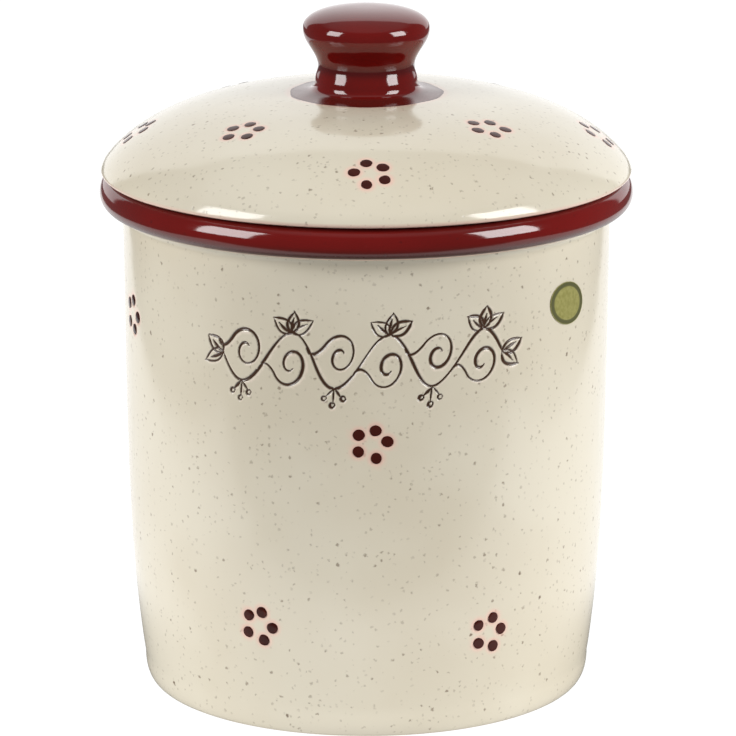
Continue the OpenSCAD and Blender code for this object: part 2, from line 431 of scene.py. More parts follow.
@dataclass(frozen=True)
class StonewareSpecks:
    """The shared group of iron specks, pits and cloudy tone that shows in stoneware glaze.

    Scales are in waves per metre, and depths in shares of a bump's distance.
    """

    specks: tuple[SpeckSize, ...] = (
        SpeckSize(2.3 * MM, 0.30, 0.55, 0.40), SpeckSize(3.6 * MM, 0.24, 0.60, 0.66),
        SpeckSize(9.0 * MM, 0.11, 0.50, 1.0))
    weakest: float = 0.3
    soft_edge: float = 0.35
    bend: float = 1.5 * MM
    bend_scale: float = 900.0
    cloud_scale: float = 14.0
    cloud_low: float = 0.35
    cloud_high: float = 0.7
    peel_scale: float = 55.0
    peel_depth: float = 1.6
    fine_scale: float = 420.0
    fine_depth: float = 0.12
    fine_rough: float = 0.06
    pit_depth: float = 0.45
    pit_rough: float = 0.2

    def build(self) -> bpy.types.NodeTree:
        """Makes the group once.

        Returns:
            A group with the outputs Color, Roughness and Height.
        """
        name = "stoneware_specks"
        if name in bpy.data.node_groups:
            return bpy.data.node_groups[name]
        tree = bpy.data.node_groups.new(name, "ShaderNodeTree")
        sockets = {"INPUT": {"Glaze": "Color", "Cloud": "Color", "Speck": "Color", "Speck Amount": "Float",
                             "Rough": "Float", "Peel": "Float"},
                   "OUTPUT": {"Color": "Color", "Roughness": "Float", "Height": "Float"}}
        for side, kinds in sockets.items():
            for label, kind in kinds.items():
                tree.interface.new_socket(label, in_out=side, socket_type="NodeSocket" + kind)
        g = Graph(tree)
        given = g.add("NodeGroupInput").outputs
        place = g.place()
        cloud = g.noise(place, self.cloud_scale, 3.0)
        tone = g.mix(g.ramp(cloud, self.cloud_low, self.cloud_high), given["Glaze"], given["Cloud"])
        specks = g.math("MULTIPLY", self.scatter(g, place), given["Speck Amount"])
        peel = g.noise(place, self.peel_scale, 2.0)
        fine = g.noise(place, self.fine_scale, 2.0)
        swell = g.math("MULTIPLY", peel, self.peel_depth)
        swell = g.math("ADD", swell, g.math("MULTIPLY", fine, self.fine_depth))
        pits = g.math("MULTIPLY", specks, self.pit_depth)
        height = g.math("SUBTRACT", g.math("MULTIPLY", swell, given["Peel"]), pits)
        rough = g.math("ADD", given["Rough"], g.math("MULTIPLY", fine, self.fine_rough))
        rough = g.math("ADD", rough, g.math("MULTIPLY", specks, self.pit_rough))
        colour = g.mix(specks, tone, given["Speck"])
        g.add("NodeGroupOutput", {"Color": colour, "Roughness": rough, "Height": height})
        return tree

    def scatter(self, g: Graph, place: bpy.types.NodeSocket) -> bpy.types.NodeSocket:
        """Places the nodes that scatter every size of speck, with bent outlines.

        Args:
            g: the group's graph.
            place: the object coordinates.

        Returns:
            How much of a speck lies at a place, from 0 to 1.
        """
        bend = g.vector("SUBTRACT", g.noise(place, self.bend_scale, 1.0, "Color"), (0.5, 0.5, 0.5)).outputs[0]
        bend = g.vector("SCALE", bend, scale=self.bend).outputs[0]
        bent = g.vector("ADD", place, bend).outputs[0]
        specks = None
        for size in self.specks:
            inputs = {"Vector": bent, "Scale": 1.0 / size.cell, "Randomness": 1.0}
            cells = g.add("ShaderNodeTexVoronoi", inputs)
            lot = g.add("ShaderNodeSeparateColor", {0: cells.outputs["Color"]}).outputs
            spot = g.ramp(cells.outputs["Distance"], size.reach, size.reach * self.soft_edge)
            kept = g.math("MULTIPLY", spot, g.math("GREATER_THAN", lot[0], size.empty))
            weight = g.ramp(lot[1], 0.0, 1.0, self.weakest * size.strength, size.strength)
            weight = g.math("MULTIPLY", kept, weight)
            specks = weight if specks is None else g.math("MAXIMUM", specks, weight)
        return specks


@dataclass(frozen=True)
class Glaze:
    """What every glaze of the pot has: its colours, roughness and relief.

    The glaze's colour turns to cloud in patches. Peel is its share of the slow swell, relief the distance of
    its bump, and bump the strength.
    """

    name: str
    glaze: Colour
    cloud: Colour
    speck: Colour
    speck_amount: float
    rough: float
    peel: float
    relief: float
    bump: float
    ior: float

    def begin(self) -> tuple[bpy.types.Material, Graph, bpy.types.bpy_prop_collection]:
        """Starts the material.

        Returns:
            The material, its graph, and the outputs Color, Roughness and Height of the shared group.
        """
        material, g = new_material(self.name)
        values = {"Glaze": self.glaze, "Cloud": self.cloud, "Speck": self.speck,
                  "Speck Amount": self.speck_amount, "Rough": self.rough, "Peel": self.peel}
        return material, g, g.add("ShaderNodeGroup", values, node_tree=StonewareSpecks().build()).outputs

    def end(self, g: Graph, colour: bpy.types.NodeSocket, rough: bpy.types.NodeSocket,
            height: bpy.types.NodeSocket) -> bpy.types.Node:
        """Ends the material's tree.

        Args:
            g: the material's graph.
            colour: base colour.
            rough: roughness.
            height: height of the bump.

        Returns:
            The Principled BSDF.
        """
        bump = g.add("ShaderNodeBump", {"Height": height, "Strength": self.bump, "Distance": self.relief})
        inputs = {"Base Color": colour, "Roughness": rough, "Normal": bump.outputs[0]}
        shader = g.add("ShaderNodeBsdfPrincipled", inputs)
        shader.inputs["IOR"].default_value = self.ior
        g.add("ShaderNodeOutputMaterial", {"Surface": shader.outputs[0]})
        return shader


def new_material(name: str) -> tuple[bpy.types.Material, Graph]:
    """Makes a material with an empty tree, and the graph that fills it."""
    material = bpy.data.materials.new(name)
    material.use_nodes = True
    material.node_tree.nodes.clear()
    return material, Graph(material.node_tree)


@dataclass(frozen=True)
class CreamGlaze(Glaze):
    """Oatmeal glaze over speckled stoneware, with stains where other colours lie on or in it, a painted pink
    reflection of the red rim along the lid's bottom edge, and a painted highlight along the lit side of each
    scratched line.
    """

    name: str = "cream_glaze"
    glaze: Colour = (0.690, 0.637, 0.515, 1.0)
    cloud: Colour = (0.645, 0.585, 0.460, 1.0)
    speck: Colour = (0.150, 0.100, 0.060, 1.0)
    speck_amount: float = 1.0
    rough: float = 0.09
    peel: float = 1.0
    relief: float = 0.16 * MM
    bump: float = 0.55
    ior: float = 1.52
    scratch: Colour = (0.058, 0.026, 0.013, 1.0)
    # lip colours a painted highlight along the lit side of each scratched line
    lip: Colour = (0.900, 0.760, 0.660, 1.0)
    lit_lip_highlight_share: float = 0.55
    # stain also tints the painted pink reflection of the red rim along the lid's bottom edge
    stain: Colour = (0.860, 0.480, 0.400, 1.0)
    stain_share: float = 0.6
    clay: Colour = (0.560, 0.430, 0.300, 1.0)
    clay_rough: float = 0.6

    def build(self) -> bpy.types.Material:
        """Makes the material, which reads the masks scratch, lip, stain and bare. Lip is a painted highlight
        along the lit side of each scratched line, and stain also holds a painted pink reflection along the
        lid's bottom edge.
        """
        material, g, body = self.begin()
        bare = g.mask("bare")
        colour = g.mix(g.math("MULTIPLY", g.mask("stain"), self.stain_share), body["Color"], self.stain)
        # painted highlight along the lit side of each scratched line
        colour = g.mix(g.math("MULTIPLY", g.mask("lip"), self.lit_lip_highlight_share), colour, self.lip)
        colour = g.mix(g.mask("scratch"), colour, self.scratch)
        colour = g.mix(bare, colour, self.clay)
        rough = g.math("ADD", body["Roughness"], g.math("MULTIPLY", bare, self.clay_rough))
        self.end(g, colour, rough, body["Height"])
        return material


@dataclass(frozen=True)
class RedGlaze(Glaze):
    """Deep ox-blood glaze, with painted shade in the seam under the lid and at the knob's waist and foot, and
    thinner and duller where it runs out, browner on the roll's underside where thin glaze and painted shade
    meet.
    """

    name: str = "red_glaze"
    glaze: Colour = (0.160, 0.004, 0.003, 1.0)
    cloud: Colour = (0.115, 0.003, 0.002, 1.0)
    speck: Colour = (0.030, 0.002, 0.003, 1.0)
    speck_amount: float = 0.5
    rough: float = 0.05
    peel: float = 0.7
    relief: float = 0.14 * MM
    bump: float = 0.5
    ior: float = 1.56
    # darker colour of the painted shade: in the seam under the lid, at the knob's waist and in the crease at
    # its foot
    pool: Colour = (0.030, 0.002, 0.003, 1.0)
    # dull brown of thin glaze, and on the roll's underside of painted shade as well
    thin: Colour = (0.060, 0.008, 0.004, 1.0)
    thin_rough: float = 0.22

    def build(self) -> bpy.types.Material:
        """Makes the material, which reads a mask of painted shade and a mask of thin glaze with painted
        shade.
        """
        material, g, body = self.begin()
        thin = g.mask("thin")
        # painted shade in the seam under the lid and at the knob's waist and foot
        colour = g.mix(g.mask("pool"), body["Color"], self.pool)
        # thin glaze where it runs out, and painted shade darkening the lower part of the roll, in a dull
        # brown
        colour = g.mix(thin, colour, self.thin)
        rough = g.math("ADD", body["Roughness"], g.math("MULTIPLY", thin, self.thin_rough))
        self.end(g, colour, rough, body["Height"])
        return material


@dataclass(frozen=True)
class DotGlaze(Glaze):
    """Thick brown-red glaze that stands as a bead, nearly black with redder patches."""

    name: str = "dot_glaze"
    glaze: Colour = (0.022, 0.003, 0.002, 1.0)
    cloud: Colour = (0.055, 0.009, 0.006, 1.0)
    speck: Colour = (0.022, 0.003, 0.002, 1.0)
    speck_amount: float = 1.0
    rough: float = 0.07
    peel: float = 1.0
    relief: float = 0.15 * MM
    bump: float = 0.5
    ior: float = 1.52
    sheen: float = 0.2
    spread_scale: float = 330.0
    spread_low: float = 0.42
    spread_high: float = 0.68

    def build(self) -> bpy.types.Material:
        """Makes the material from noise in object coordinates."""
        material, g, body = self.begin()
        spread = g.noise(g.place(), self.spread_scale, 2.0)
        colour = g.mix(g.ramp(spread, self.spread_low, self.spread_high), body["Color"], self.cloud)
        shader = self.end(g, colour, body["Roughness"], spread)
        shader.inputs["Specular IOR Level"].default_value = self.sheen
        return material


@dataclass(frozen=True)
class GoldFoil:
    """Green-gold foil paper with a dull dark border. Rough and metal hold a value for foil and for border."""

    gold: Colour = (0.330, 0.310, 0.085, 1.0)
    pale: Colour = (0.420, 0.395, 0.130, 1.0)
    dark: Colour = (0.085, 0.085, 0.022, 1.0)
    rough: tuple[float, float] = (0.26, 0.42)
    metal: tuple[float, float] = (0.4, 0.2)
    crinkle_scale: float = 700.0
    crinkle_low: float = 0.3
    crinkle_high: float = 0.7
    crinkle_rough: float = 0.2
    relief: float = 0.05 * MM
    bump: float = 0.35

    def build(self) -> bpy.types.Material:
        """Makes the material, which reads the mask border."""
        material, g = new_material("gold_foil")
        crinkle = g.noise(g.place(), self.crinkle_scale, 3.0)
        border = g.mask("border")
        foil = g.mix(g.ramp(crinkle, self.crinkle_low, self.crinkle_high), self.gold, self.pale)
        bump = g.add("ShaderNodeBump", {"Height": crinkle, "Strength": self.bump, "Distance": self.relief})
        rough = g.math("MULTIPLY", crinkle, self.crinkle_rough)
        shader = g.add("ShaderNodeBsdfPrincipled", {
            "Base Color": g.mix(border, foil, self.dark), "Normal": bump.outputs[0],
            "Roughness": g.math("ADD", rough, g.ramp(border, 0.0, 1.0, *self.rough)),
            "Metallic": g.ramp(border, 0.0, 1.0, *self.metal)})
        g.add("ShaderNodeOutputMaterial", {"Surface": shader.outputs[0]})
        return material


@dataclass(frozen=True)
class Finishes:
    """The pot's four materials."""

    cream: bpy.types.Material
    red: bpy.types.Material
    dot: bpy.types.Material
    foil: bpy.types.Material

    @classmethod
    def make(cls) -> "Finishes":
        """Builds each material once."""
        return cls(CreamGlaze().build(), RedGlaze().build(), DotGlaze().build(), GoldFoil().build())


def finish_piece(piece: bpy.types.Object, material: bpy.types.Material, body: Body, slot: Slot,
                 node: str) -> None:
    """Args:
        piece: the piece, in place.
        material: its finish.
        body: the body that it rides on.
        slot: the record's slot for the piece's finish. Not used.
        node: the node of the part that it stands for.
    """
    if material.name not in piece.data.materials:
        piece.data.materials.append(material)
    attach(piece, body.value)
    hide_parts(node)
    LOG.info("%s: %d faces, rides on %s", piece.name, len(piece.data.polygons), body.value)


@dataclass(frozen=True)
class Flower:
    """A ring of dots: its angle from the front and the turn of its first dot, in degrees, and its place."""

    angle: float
    place: float
    turn: float


@dataclass(frozen=True)
class DotFlowers:
    """Flowers of glaze beads, and the marks that a bead leaves in the glaze round it.

    The dimple and the stain fade out between two distances from a bead's centre, in bead radii.
    """

    flowers: tuple[Flower, ...]
    seed: int
    across: float
    reach: float
    height: float = 0.2 * MM
    sunk: float = 0.11 * MM
    uneven: float = 0.75 * MM
    dots: int = 5
    jitter: float = 0.05
    dimple_depth: float = 0.14 * MM
    dimple_fade: tuple[float, float] = (0.8, 1.45)
    stain_fade: tuple[float, float] = (0.9, 2.0)

    def layout(self) -> Iterator[tuple[Flower, float, float]]:
        """Places every dot in its flower, with a hand's unsteadiness.

        Returns:
            For each dot its flower, and how far it lies to the right of its centre and above it.
        """
        rng = np.random.default_rng(self.seed)
        for flower in self.flowers:
            for number in range(self.dots):
                way = 90.0 + flower.turn + 360.0 / self.dots * number
                a = math.radians(way) + rng.normal(0.0, self.jitter)
                reach = self.reach * (1.0 + rng.normal(0.0, self.jitter))
                yield flower, reach * math.cos(a), reach * math.sin(a)

    def dimple(self, gap: np.ndarray) -> np.ndarray:
        """Depth of the dimple at distances from the nearest dot's centre."""
        return self.dimple_depth * (1.0 - smooth_step(*self.dimple_fade, gap / (self.across / 2)))

    def stain(self, gap: np.ndarray) -> np.ndarray:
        """Strength of the stain at distances from the nearest dot's centre."""
        return 1.0 - smooth_step(*self.stain_fade, gap / (self.across / 2))

    def build(self, name: str, places: np.ndarray, normals: np.ndarray,
              material: bpy.types.Material) -> bpy.types.Object:
        """Sets the beads on a surface.

        Args:
            name: name of the piece.
            places: points of the surface, one row for each bead.
            normals: outward directions there.
            material: the beads' finish.

        Returns:
            A plain mesh of all the beads.
        """
        carrier = link_object(name + "_points", new_mesh(name + "_points", places - normals * self.sunk))
        outward = carrier.data.attributes.new("outward", "FLOAT_VECTOR", "POINT")
        outward.data.foreach_set("vector", normals.astype(np.float32).ravel())
        maker = carrier.modifiers.new("beads", "NODES")
        maker.node_group = bpy.data.node_groups.get("glaze_beads") or bead_tree()
        wanted = {"Diameter": self.across, "Height": self.height, "Irregularity": self.uneven, "Seed": SEED,
                  "Material": material}
        for item in maker.node_group.interface.items_tree:
            if item.in_out == "INPUT" and item.name in wanted:
                maker[item.identifier] = wanted[item.name]
        graph = bpy.context.evaluated_depsgraph_get()
        plain = bpy.data.meshes.new_from_object(carrier.evaluated_get(graph))
        carrier.modifiers.clear()
        bpy.data.objects.remove(carrier)
        plain.name = name
        return link_object(name, plain)


def bead_tree() -> bpy.types.NodeTree:
    """The geometry nodes that set a bead of glaze on each point.

    Returns:
        A tree with the inputs Diameter, Height, Irregularity, Seed and Material.
    """
    narrowest, widest, waves_per_metre = 0.93, 1.07, 260.0
    tree = bpy.data.node_groups.new("glaze_beads", "GeometryNodeTree")
    kinds = {"Geometry": "Geometry", "Diameter": "Float", "Height": "Float", "Irregularity": "Float",
             "Seed": "Int", "Material": "Material"}
    for label, kind in kinds.items():
        tree.interface.new_socket(label, in_out="INPUT", socket_type="NodeSocket" + kind)
    tree.interface.new_socket("Geometry", in_out="OUTPUT", socket_type="NodeSocketGeometry")
    g = Graph(tree)
    given = g.add("NodeGroupInput").outputs
    bead = g.add("GeometryNodeMeshUVSphere", {"Segments": 28, "Rings": 14, "Radius": 1.0}).outputs["Mesh"]
    normal = {"Name": "outward"}
    normal = g.add("GeometryNodeInputNamedAttribute", normal, data_type="FLOAT_VECTOR").outputs["Attribute"]
    upright = g.add("FunctionNodeAlignRotationToVector", {"Vector": normal}, axis="Z").outputs[0]
    half = g.math("MULTIPLY", given["Diameter"], 0.5)
    lot = {2: narrowest, 3: widest, "Seed": given["Seed"]}
    wide = g.math("MULTIPLY", half, g.add("FunctionNodeRandomValue", lot, data_type="FLOAT").outputs[1])
    size = g.add("ShaderNodeCombineXYZ", {"X": wide, "Y": half, "Z": given["Height"]}).outputs[0]
    setting = {"Points": given["Geometry"], "Instance": bead, "Rotation": upright, "Scale": size}
    beads = g.add("GeometryNodeInstanceOnPoints", setting).outputs[0]
    real = g.add("GeometryNodeRealizeInstances", {"Geometry": beads}).outputs[0]
    drift = {"Vector": g.add("GeometryNodeInputPosition").outputs[0], "W": given["Seed"],
             "Scale": waves_per_metre, "Detail": 1.0}
    drift = g.add("ShaderNodeTexNoise", drift, noise_dimensions="4D").outputs["Color"]
    drift = g.vector("SUBTRACT", drift, (0.5, 0.5, 0.5)).outputs[0]
    away = g.vector("DOT_PRODUCT", drift, normal).outputs["Value"]
    proud = g.vector("SCALE", normal, scale=away).outputs[0]
    level = g.vector("SUBTRACT", drift, proud).outputs[0]
    push = g.vector("SCALE", level, scale=given["Irregularity"]).outputs[0]
    shaken = g.add("GeometryNodeSetPosition", {"Geometry": real, "Offset": push}).outputs[0]
    soft = g.add("GeometryNodeSetShadeSmooth", {0: shaken}).outputs[0]
    done = g.add("GeometryNodeSetMaterial", {"Geometry": soft, "Material": given["Material"]}).outputs[0]
    g.add("NodeGroupOutput", {0: done})
    return tree


@dataclass
class ScratchedScroll:
    """A running vine with curls, leaves and berries, scratched by hand into the front of the crock.

    Lengths run along the wall from the vine's centre. A fan holds the lean of each leaf or stalk, in degrees,
    and its share of the full length, and the leans at the ends are in radians. The fades, and the place and
    width of the burr and of the painted highlight on the lit lip, are distances from the line's middle in
    half widths of the line.
    """

    centre_angle: float = -0.9
    centre_height: float = 153.5 * MM
    wave: float = 38.0 * MM
    waves: int = 3
    swing: float = 10.5 * MM
    curl_reach: float = 9.2 * MM
    curl_turns: float = 1.3
    curl_start: float = 205.0
    curl_narrow: float = 0.8
    curl_wind: float = 0.78
    curl_ease: float = 0.85
    curl_aside: float = 0.8 * MM
    curl_clear: float = 3.4 * MM
    curl_root: float = 0.33
    curl_pull: float = 3.0
    leaf_length: float = 11.5 * MM
    leaf_width: float = 5.0 * MM
    leaf_swell: float = 0.8
    leaf_fan: tuple[tuple[float, float], ...] = ((-56.0, 0.82), (0.0, 0.74), (56.0, 0.82))
    end_leans: tuple[float, ...] = (-0.6, 0.5)
    end_share: float = 0.85
    rib_share: float = 0.7
    rib_bend: float = 0.3 * MM
    stalk: float = 7.0 * MM
    stalk_fan: tuple[tuple[float, float], ...] = ((-42.0, 0.8), (0.0, 1.0), (42.0, 0.8))
    berry: float = 0.9 * MM
    line: float = 1.55 * MM
    depth: float = 0.42 * MM
    step: float = 0.3 * MM
    slant: float = 0.12
    shake: float = 0.22 * MM
    shake_waves: tuple[float, float] = (5.1 * MM, 6.3 * MM)
    press: float = 0.78
    press_wave: float = 7.5 * MM
    taper: float = 0.45
    taper_run: float = 2.5 * MM
    margin: float = 5.0 * MM
    groove_fade: tuple[float, float] = (0.3, 1.15)
    dark_fade: tuple[float, float] = (0.7, 1.2)
    burr_height: float = 0.1 * MM
    burr: tuple[float, float] = (1.6, 0.35)
    # place and width of the painted highlight on the lip of each line, and the side of the line that faces
    # the light
    lit: tuple[float, float] = (1.7, 0.45)
    lit_side: tuple[float, float] = (-0.2 * MM, 0.8 * MM)
    beyond: float = 9.0
    paths: list[np.ndarray] = field(default_factory=list)

    def vine(self, x: np.ndarray) -> np.ndarray:
        """Height of the vine at x."""
        return self.swing * np.sin(2 * np.pi * x / self.wave)

    def add_path(self, points: np.ndarray) -> None:
        """Keeps a stroke, slanted like handwriting."""
        self.paths.append(np.column_stack([points[:, 0] + self.slant * points[:, 1], points[:, 1]]))

    def draw(self) -> None:
        """Works out every stroke."""
        half = self.wave * self.waves / 2
        x = np.linspace(-half, half, 260)
        self.add_path(np.column_stack([x, self.vine(x)]))
        for number in range(2 * self.waves):
            crest = -half + self.wave * (number + 0.5) / 2
            side = 1.0 if (number + self.waves) % 2 == 0 else -1.0
            self.curl(crest, side)
            if side > 0:
                self.leaves(crest, side)
            else:
                self.berries(crest, side)
        for end in (-1.0, 1.0):
            self.end_leaves(end * half, end)

    def curl(self, crest: float, side: float) -> None:
        """Draws the tendril that curls in under a crest, or over a trough.

        Args:
            crest: where along the vine the crest or trough is.
            side: 1 for a crest, -1 for a trough.
        """
        turn = np.linspace(0.0, 1.0, 110)
        a = math.radians(self.curl_start) + turn * self.curl_turns * 2 * np.pi
        reach = self.curl_reach * (1.0 - self.curl_wind * turn ** self.curl_ease)
        x = crest + self.curl_aside + self.curl_narrow * reach * np.cos(a)
        y = side * (self.swing - self.curl_reach - self.curl_clear) + side * reach * np.sin(a)
        points = np.column_stack([x, y])
        start = crest - self.curl_root * self.wave
        root = np.array([start, float(self.vine(np.array(start)))])
        lead = np.linspace(0.0, 1.0, 24)[:, None]
        pull = points[0] + (points[0] - points[4]) * self.curl_pull
        joined = (1 - lead) ** 2 * root + 2 * lead * (1 - lead) * pull + lead ** 2 * points[0]
        self.add_path(np.vstack([joined[:-1], points]))

    def berries(self, crest: float, side: float) -> None:
        """Draws berries on stalks outside a crest or trough.

        Args:
            crest: where along the vine the crest or trough is.
            side: 1 for a crest, -1 for a trough.
        """
        ring = np.linspace(0.0, 2 * np.pi, 30)
        circle = self.berry * np.column_stack([np.cos(ring), np.sin(ring)])
        root = np.array([crest, side * self.swing])
        for lean, share in self.stalk_fan:
            away = np.array([math.sin(math.radians(lean)), side * math.cos(math.radians(lean))])
            tip = root + away * self.stalk * share
            t = np.linspace(0.0, 1.0, 14)[:, None]
            self.add_path(root + t * (tip - away * self.berry - root))
            self.add_path(tip + circle)

    def leaves(self, crest: float, side: float) -> None:
        """Draws a tuft of leaves outside a crest or trough."""
        for lean, share in self.leaf_fan:
            heading = math.radians(90.0 * side - lean)
            self.draw_leaf(np.array([crest, side * self.swing]), heading, self.leaf_length * share)

    def end_leaves(self, x: float, way: float) -> None:
        """Draws the leaves at an end of the vine."""
        for lean in self.end_leans:
            heading = (0.0 if way > 0 else math.pi) + lean
            self.draw_leaf(np.array([x, 0.0]), heading, self.leaf_length * self.end_share)

    def draw_leaf(self, root: np.ndarray, heading: float, length: float) -> None:
        """Draws one leaf.

        Args:
            root: where it starts.
            heading: the way it points, in radians.
            length: its length.
        """
        t = np.linspace(0.0, 1.0, 40)
        along = np.array([math.cos(heading), math.sin(heading)])
        across = np.array([-along[1], along[0]])
        bulge = self.leaf_width / 2 * np.sin(np.pi * t ** self.leaf_swell)
        for side in (-1.0, 1.0):
            self.add_path(root + t[:, None] * length * along + (side * bulge)[:, None] * across)
        rib = t[:round(self.rib_share * len(t)), None]
        self.add_path(root + rib * length * along + self.rib_bend * np.sin(rib * 5.0) * across)

    def strokes(self) -> tuple[np.ndarray, np.ndarray]:
        """Samples every stroke evenly, with a hand's unsteadiness and pressure.

        Returns:
            The points, one row each, and the half width of the line at each.
        """
        if not self.paths:
            self.draw()
        rng = np.random.default_rng(SEED)
        points, widths = [], []
        for path in self.paths:
            run = np.concatenate([[0.0], np.cumsum(np.hypot(*np.diff(path, axis=0).T))])
            at = np.linspace(0.0, run[-1], max(6, int(run[-1] / self.step)))
            line = np.column_stack([np.interp(at, run, path[:, 0]), np.interp(at, run, path[:, 1])])
            phase = rng.uniform(0, 2 * np.pi, 4)
            for axis, wave in enumerate(self.shake_waves):
                line[:, axis] += self.shake * np.sin(at / wave + phase[axis])
            press = self.press + (1.0 - self.press) * np.sin(at / self.press_wave + phase[2])
            inner = smooth_step(0.0, self.taper_run, np.minimum(at, run[-1] - at))
            points.append(line)
            widths.append(self.line / 2 * press * (self.taper + (1.0 - self.taper) * inner))
        return np.vstack(points), np.concatenate(widths)


@dataclass
class Crock:
    """The crock: body, rolled rim, dot flowers and foil seal.

    The rim's edge, waves, fade and stain are in degrees, 0 pointing away from the axis and -90 down. Each row
    of finer holds how near a scratch and a dot the mesh is halved once more.
    """

    seam: float
    rim_radius: float
    belly: float = 96.75 * MM
    draw: float = 9.5 * MM
    draw_height: float = 46.0 * MM
    heel_height: float = 11.2 * MM
    heel_in: float = 5.5 * MM
    heel_power: float = 2.4
    wall: float = 6.0 * MM
    floor: float = 10.0 * MM
    corner: float = 16.0 * MM
    foot_ring: float = 9.0 * MM
    foot_flat: tuple[float, float] = (0.6 * MM, 1.5 * MM)
    recess: float = 2.0 * MM
    recess_edge: tuple[tuple[float, float], ...] = (
        (2.4 * MM, 1.0), (1.4 * MM, 0.8), (0.4 * MM, 0.15), (0.0, 0.0))
    mouth_edge: float = 2.0 * MM
    neck_start: float = 6.0 * MM
    neck_edge: float = 0.3 * MM
    roll_height: float = 13.2 * MM
    roll_radius: float = 6.0 * MM
    roll_out: float = 9.0 * MM
    roll_power: float = 2.1
    red_edge: float = -60.0
    red_waves: Waves = ((3, 2.6, 0.7), (7, 1.6, 2.0))
    red_thick: float = 0.18 * MM
    red_end: float = 0.86
    # painted shade on the top of the roll, in the seam under the lid's edge
    pool_share: float = 0.6
    pool_depth: tuple[float, float] = (1.9 * MM, 0.5 * MM)
    # thin glaze and painted shade over the lower part of the roll, browner as it turns under
    thin_fade: tuple[float, float] = (6.0, -46.0)
    stain_turn: float = 34.0
    uneven: float = 0.25 * MM
    uneven_seed: int = 3
    uneven_from: float = 30.0 * MM
    uneven_to_neck: float = 12.0 * MM
    finer: tuple[tuple[float, float], ...] = (
        (3.6 * MM, 5.4 * MM), (2.0 * MM, 4.2 * MM), (1.25 * MM, 0.0))
    foot_bare: tuple[float, float] = (0.2 * MM, 0.9 * MM)
    turns: int = 288
    dots: DotFlowers = DotFlowers(
        seed=SEED + 1, across=4.5 * MM, reach=5.9 * MM, flowers=(
            Flower(1.1, 0.585, -14), Flower(181, 0.585, 12), Flower(-72.4, 0.753, -13), Flower(106, 0.753, 8),
            Flower(-26.7, 0.216, -19), Flower(30.8, 0.198, -15), Flower(106, 0.207, 5),
            Flower(182, 0.216, -11), Flower(257.5, 0.207, 16)))
    scroll: ScratchedScroll = field(default_factory=ScratchedScroll)

    def wall_radius(self, z: np.ndarray) -> np.ndarray:
        """Outside radius of the wall at a height."""
        return self.belly - self.draw * np.exp(-np.minimum(z, self.neck_height) / self.draw_height)

    @property
    def neck_height(self) -> float:
        """Height where the roll's lower fillet meets the wall."""
        return self.seam - self.roll_height - self.roll_out + self.roll_radius

    @property
    def neck_radius(self) -> float:
        """Radius of the plain neck inside the roll."""
        return float(self.wall_radius(np.array(self.neck_height)))

    def outside(self) -> np.ndarray:
        """Profile of the outside, from the middle of the recess up to the seat."""
        foot = float(self.wall_radius(np.array(self.heel_height))) - self.heel_in
        ring = foot - self.foot_ring
        base = [(0.0, self.recess), (ring * 0.5, self.recess)]
        base += [(ring - back, self.recess * share) for back, share in self.recess_edge]
        base += [(ring + self.foot_flat[0], 0.0), (foot - self.foot_flat[1], 0.0)]
        high = self.heel_height
        heel = quarter(foot, high, self.heel_in, -high, self.heel_power, 90, 0, 13)[:-1]
        z = np.linspace(self.heel_height, self.neck_height, 92)
        wall = np.column_stack([self.wall_radius(z), z])
        r, edge = self.neck_radius, self.neck_edge
        neck = [(r, self.seam - self.neck_start), (r, self.seam - edge), (r - edge, self.seam)]
        return np.vstack([base, heel, wall, neck])

    def inside(self) -> np.ndarray:
        """Profile of the seat and the inside, down to the middle of the floor."""
        mouth = self.neck_radius - self.wall
        lip = arc(mouth + self.mouth_edge, self.seam - self.mouth_edge, self.mouth_edge, 90, 180, 6)
        low = self.floor + self.corner
        z = np.linspace(self.seam - 2 * self.mouth_edge, low, 44)
        wall = np.column_stack([self.wall_radius(z) - self.wall, z])
        turn = arc(wall[-1, 0] - self.corner, low, self.corner, 0, -90, 10)[1:]
        floor = [(turn[-1, 0] * share, self.floor) for share in (0.66, 0.33, 0.0)]
        return np.vstack([lip, wall, turn, floor])

    def dot_places(self) -> tuple[np.ndarray, np.ndarray]:
        """Works out where the dots sit.

        Returns:
            Their places on the wall and the outward directions there, one row each.
        """
        angles, heights = [], []
        for flower, aside, up in self.dots.layout():
            z = flower.place * self.seam
            angles.append(math.radians(flower.angle) + aside / float(self.wall_radius(np.array(z))))
            heights.append(z + up)
        angles, heights = np.array(angles), np.array(heights)
        return around(self.wall_radius(heights), angles, heights), around(1.0, angles, np.zeros(len(angles)))

    def on_wall(self, points: np.ndarray) -> np.ndarray:
        """Says which positions lie on the outside wall, between the heel and the neck."""
        r, _, z = apart(points)
        inside = (z > self.heel_height - TOUCH) & (z < self.neck_height + TOUCH)
        return inside & (r > self.wall_radius(z) - 0.5 * self.wall)

    def build_body(self, material: bpy.types.Material) -> None:
        """Builds the crock's body, with the scroll scratched in and a small dimple round each dot.

        Args:
            material: its finish.
        """
        scroll = self.scroll
        piece = turned("crock_body_glazed", np.vstack([self.outside(), self.inside()]), self.turns)
        strokes, widths = scroll.strokes()
        tree = search_tree(np.column_stack([strokes, np.zeros(len(strokes))]))
        dots = search_tree(self.dot_places()[0])
        window = np.abs(strokes).max(0) + scroll.margin

